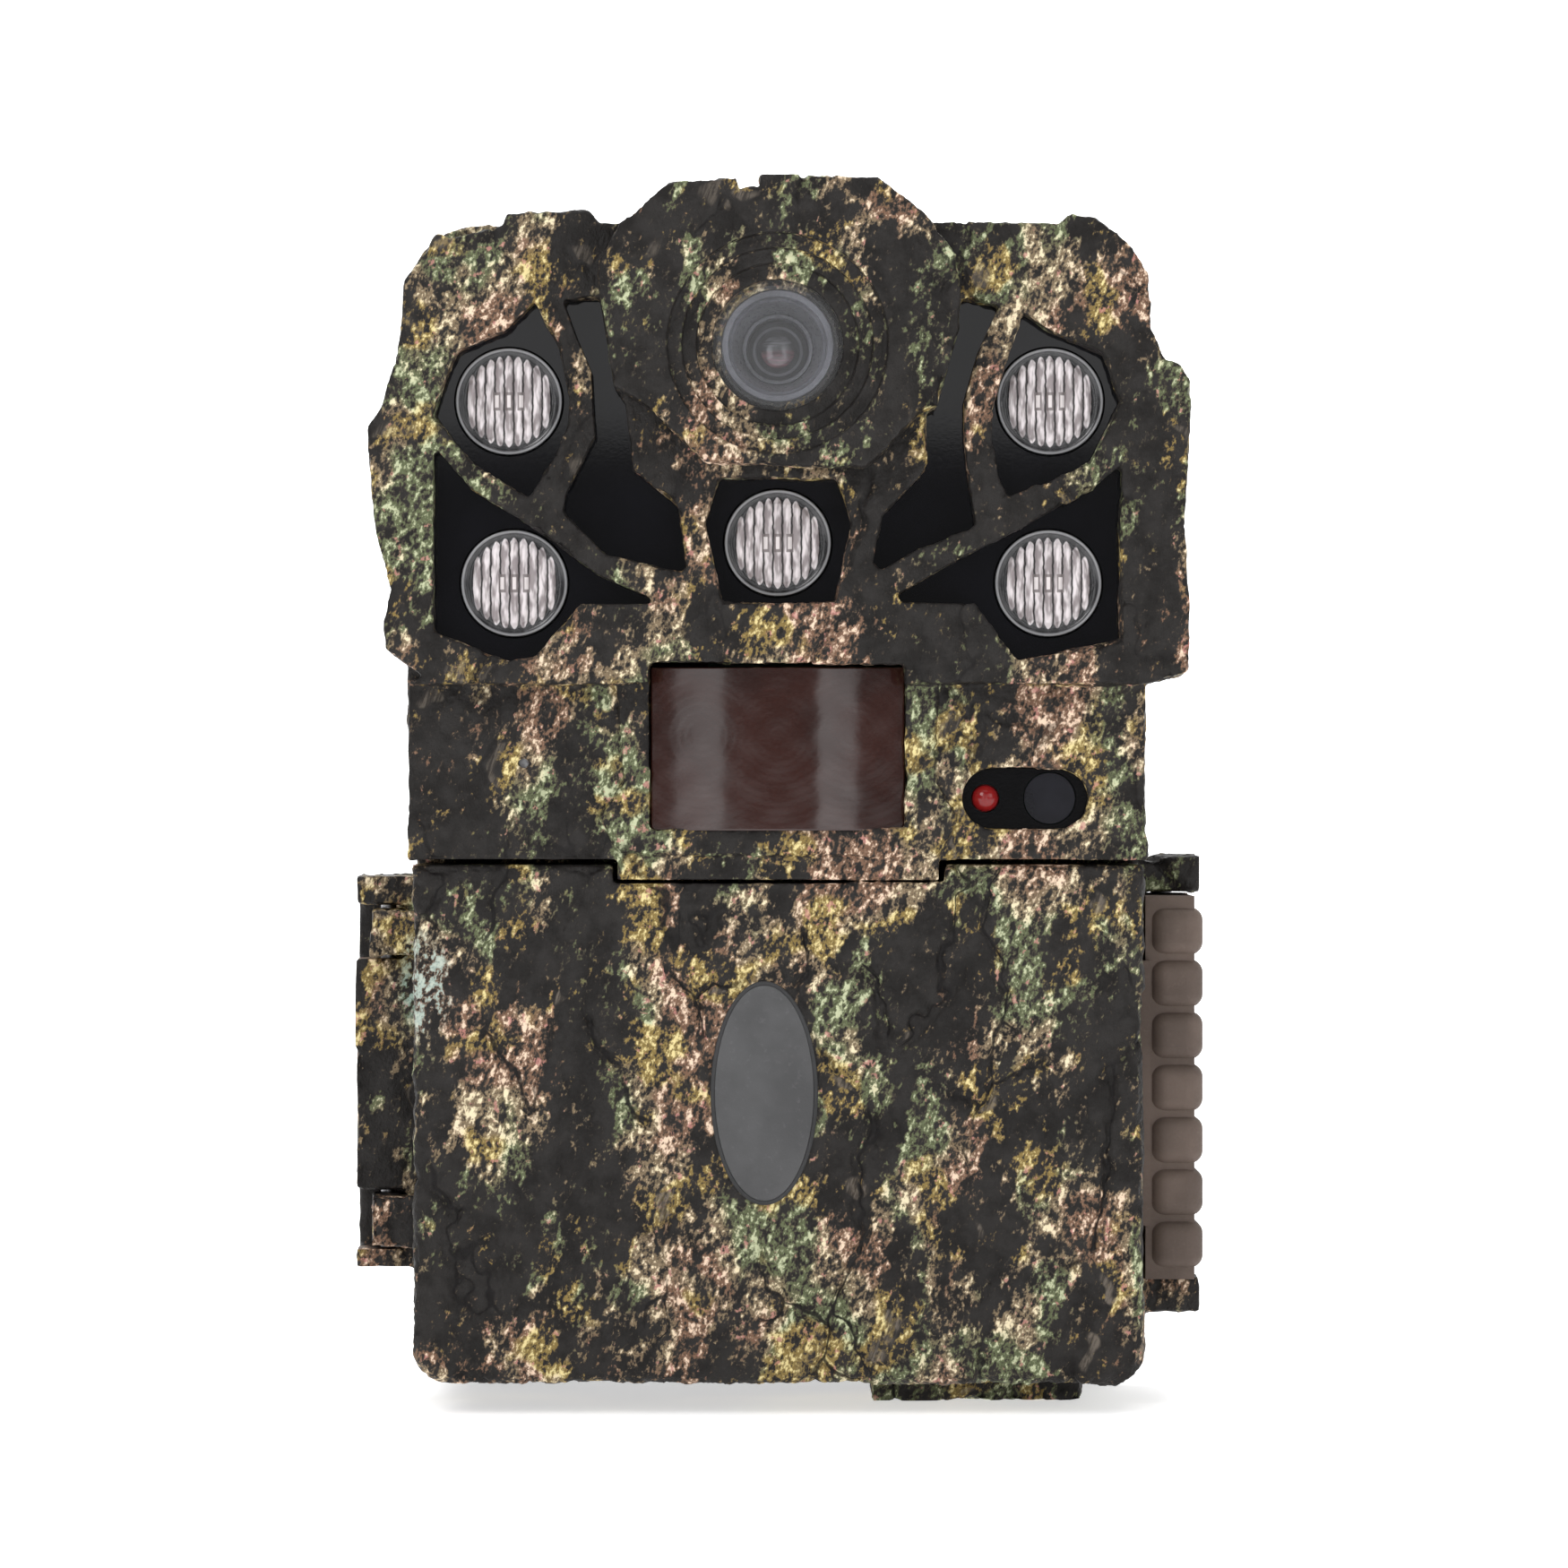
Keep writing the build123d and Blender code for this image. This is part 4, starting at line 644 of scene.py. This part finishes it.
def pill(wide, tall, front, back, corner=0.35, bevel=0.12, turns=6):
    """A rounded rectangular pad facing -Y, with a bevelled front rim."""
    loops, faces = [], []
    for inset, y in ((bevel, front), (0.0, front + bevel), (0.0, back)):
        for cx, cz, start in ((1, 1, 0), (-1, 1, 90), (-1, -1, 180), (1, -1, 270)):
            for j in range(turns):
                a = math.radians(start + 90 * j / (turns - 1))
                r = corner - inset * 0.5
                loops.append((cx * (wide / 2 - corner) + (r - inset * 0.5) * math.cos(a), y,
                              cz * (tall / 2 - corner) + (r - inset * 0.5) * math.sin(a)))
    n = 4 * turns
    for ring in range(2):
        for j in range(n):
            k = (j + 1) % n
            faces.append((ring * n + j, ring * n + k, (ring + 1) * n + k, (ring + 1) * n + j))
    faces.append(tuple(range(n - 1, -1, -1)))
    faces.append(tuple(range(2 * n, 3 * n)))
    return loops, faces


board_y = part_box("ir_emitters")[1].y / MM
floor_y, well_r = board_y - 0.42, 1.9
bowl = [(0, floor_y), (well_r, floor_y)]
bowl += [(well_r + 3.3 * math.sin(a), floor_y - 0.75 * (1 - math.cos(a))) for a in np.linspace(0.2, 1.57, 9)]
bowl += [(5.5, board_y - 1.2), (5.6, board_y - 1.1), (5.6, board_y), (0, board_y)]
for k in range(1, 6):
    low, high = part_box(f"ir_lens_{k}")
    x, z = (low.x + high.x) / 2 / MM, (low.z + high.z) / 2 / MM
    joined(cup_points, cup_faces, *rings(bowl, 72), (x, 0, z))
    for dx in (-DIE_PITCH, 0.0, DIE_PITCH):
        joined(die_points, die_faces, *pill(0.95, 2.3, board_y - 0.9, floor_y), (x + dx, 0, z))
cups = mesh_of("lamp_cups", cup_points, cup_faces)
placed("lamp_cups", cups, M["led"], "ir_emitters", "camera")
dies = mesh_of("lamp_dies", die_points, die_faces, smooth=False)
placed("lamp_dies", dies, M["die"], "ir_emitters", "camera")

# ---------------------------------------------------------------- lens barrel and element
low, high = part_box("lens_barrel")
at = ((low.x + high.x) / 2, 0, (low.z + high.z) / 2)
f, b = low.y / MM, high.y / MM
element_low, element_high = [corner.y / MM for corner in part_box("lens_element")]
profile = [(6.2, b), (6.2, f + 0.1), (6.1, f), (5.55, f), (5.45, f + 0.12), (5.35, f + 1.2),
           (5.05, f + 1.5), (3.95, f + 6.3), (3.9, f + 6.0), (3.56, f + 6.0), (3.46, f + 6.15),
           (3.46, element_high), (2.6, element_high), (2.6, b)]
points, faces = hoops([(radius, radius, y) for radius, y in profile], 144)
barrel = mesh_of("barrel", points, faces, at, smooth=False)
placed("barrel", barrel, M["anodised"], "lens_barrel", "camera")

dome_r = 3.44
dome = [(dome_r * t, element_low + 0.9 * t * t) for t in np.linspace(0, 1, 22)]
dome += [(dome_r, element_high), (0, element_high)]
element = mesh_of("front_element", *rings(dome, 96), at)
placed("front_element", element, M["coated"], "lens_element", "camera")

# ---------------------------------------------------------------- motion-sensor film
low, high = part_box("pir_lens")
wide, tall = 14.15, (high.z - low.z) / MM / 2 - 0.2
centre_z = (low.z + high.z) / 2 / MM - 0.1
skin_y, film_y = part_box("door_shell")[0].y / MM, low.y / MM
across, upward = 150, 96


def film(x, z):
    """Front of the film: a shallow barrel with shallow Fresnel grooves round three centres."""
    bulge = (film_y - skin_y) * (1 - (x / wide) ** 2)
    near = min(math.hypot(x - c, z - 1.5) for c in (-8.4, 0.0, 8.4))
    groove = (near / 0.9) % 1.0
    return skin_y + bulge + 0.002 * groove + 0.012 * math.sin(1.1 * x + 0.5 * math.sin(1.3 * z))


points, faces = [], []
for j in range(upward + 1):
    for i in range(across + 1):
        x, z = wide * (2 * i / across - 1), tall * (2 * j / upward - 1)
        points.append((x, film(x, z), z + centre_z))
for j in range(upward):
    for i in range(across):
        a = j * (across + 1) + i
        faces.append((a, a + 1, a + across + 2, a + across + 1))
border = list(range(across + 1))
border += [j * (across + 1) + across for j in range(1, upward + 1)]
border += [upward * (across + 1) + i for i in range(across - 1, -1, -1)]
border += [j * (across + 1) for j in range(upward - 1, 0, -1)]
back = len(points)
points += [(points[i][0], high.y / MM, points[i][2]) for i in border]
for k, i in enumerate(border):
    n = (k + 1) % len(border)
    faces.append((i, back + k, back + n, border[n]))
faces.append(tuple(back + k for k in range(len(border) - 1, -1, -1)))
placed("pir_film", mesh_of("pir_film", points, faces), M["pir"], "pir_lens", "camera")

# ---------------------------------------------------------------- camera, light and floor
eye = bpy.data.objects.new("camera", bpy.data.cameras.new("camera"))
bpy.context.collection.objects.link(eye)
eye.location = (0.0007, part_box("door_shell")[0].y - 0.700, 0.0705)
eye.rotation_euler = (math.pi / 2, 0, 0)
eye.data.sensor_width = 36
eye.data.lens = 144
eye.data.clip_start = 0.01
bpy.context.scene.camera = eye


def lamp(name, place, size, power, target=(0, 0, 0.07)):
    light = bpy.data.lights.new(name, "AREA")
    light.shape = "RECTANGLE"
    light.size, light.size_y = size
    light.energy = power
    ob = bpy.data.objects.new(name, light)
    ob.location = place
    ob.rotation_euler = (Vector(target) - Vector(place)).to_track_quat("-Z", "Y").to_euler()
    bpy.context.collection.objects.link(ob)


lamp("key", (-0.55, -0.75, 0.75), (0.5, 0.5), 4.4)
lamp("fill", (0.75, -0.65, 0.45), (0.6, 0.6), 2.0)
lamp("top", (0.0, -0.15, 1.1), (0.9, 0.7), 3.6)
lamp("front_card", (0.0, -0.95, 0.46), (1.2, 0.6), 1.9, (0, -0.3, 0.46))
lamp("strip_left", (-0.21, -0.78, 0.07), (0.14, 0.5), 0.34)
lamp("strip_right", (0.165, -0.78, 0.07), (0.09, 0.5), 0.24)
lamp("backdrop_wash", (0.0, 0.35, 1.5), (2.0, 0.6), 30, (0, 1.6, 0.4))
world = bpy.data.worlds.new("studio")
bpy.context.scene.world = world
world.use_nodes = True
world.node_tree.nodes["Background"].inputs[0].default_value = (1, 1, 1, 1)
world.node_tree.nodes["Background"].inputs[1].default_value = 0.14
bpy.context.scene.view_settings.view_transform = "Standard"

# a sweep: floor, then a curve up into a wall, all one pale surface
reach, bend_y, bend_r, wall_top = 12.0, 1.1, 0.5, 3.0
outline = [(-reach, 0.0), (bend_y, 0.0)]
outline += [(bend_y + bend_r * math.sin(a), bend_r - bend_r * math.cos(a))
            for a in np.linspace(0.1, math.pi / 2, 16)]
outline += [(bend_y + bend_r, wall_top)]
sweep = [(x, y, z) for y, z in outline for x in (-reach, reach)]
faces = [(2 * k, 2 * k + 1, 2 * k + 3, 2 * k + 2) for k in range(len(outline) - 1)]
floor_mesh = bpy.data.meshes.new("floor")
floor_mesh.from_pydata(sweep, [], faces)
floor_mesh.polygons.foreach_set("use_smooth", [True] * len(faces))
floor = bpy.data.objects.new("floor", floor_mesh)
bpy.context.collection.objects.link(floor)
floor_paint = Shader("floor_paint")
floor_paint.set(Base_Color=(0.88, 0.88, 0.88), Roughness=0.8)
floor_paint.set(Emission_Color=(1, 1, 1), Emission_Strength=0.55)
floor_mesh.materials.append(floor_paint.material)
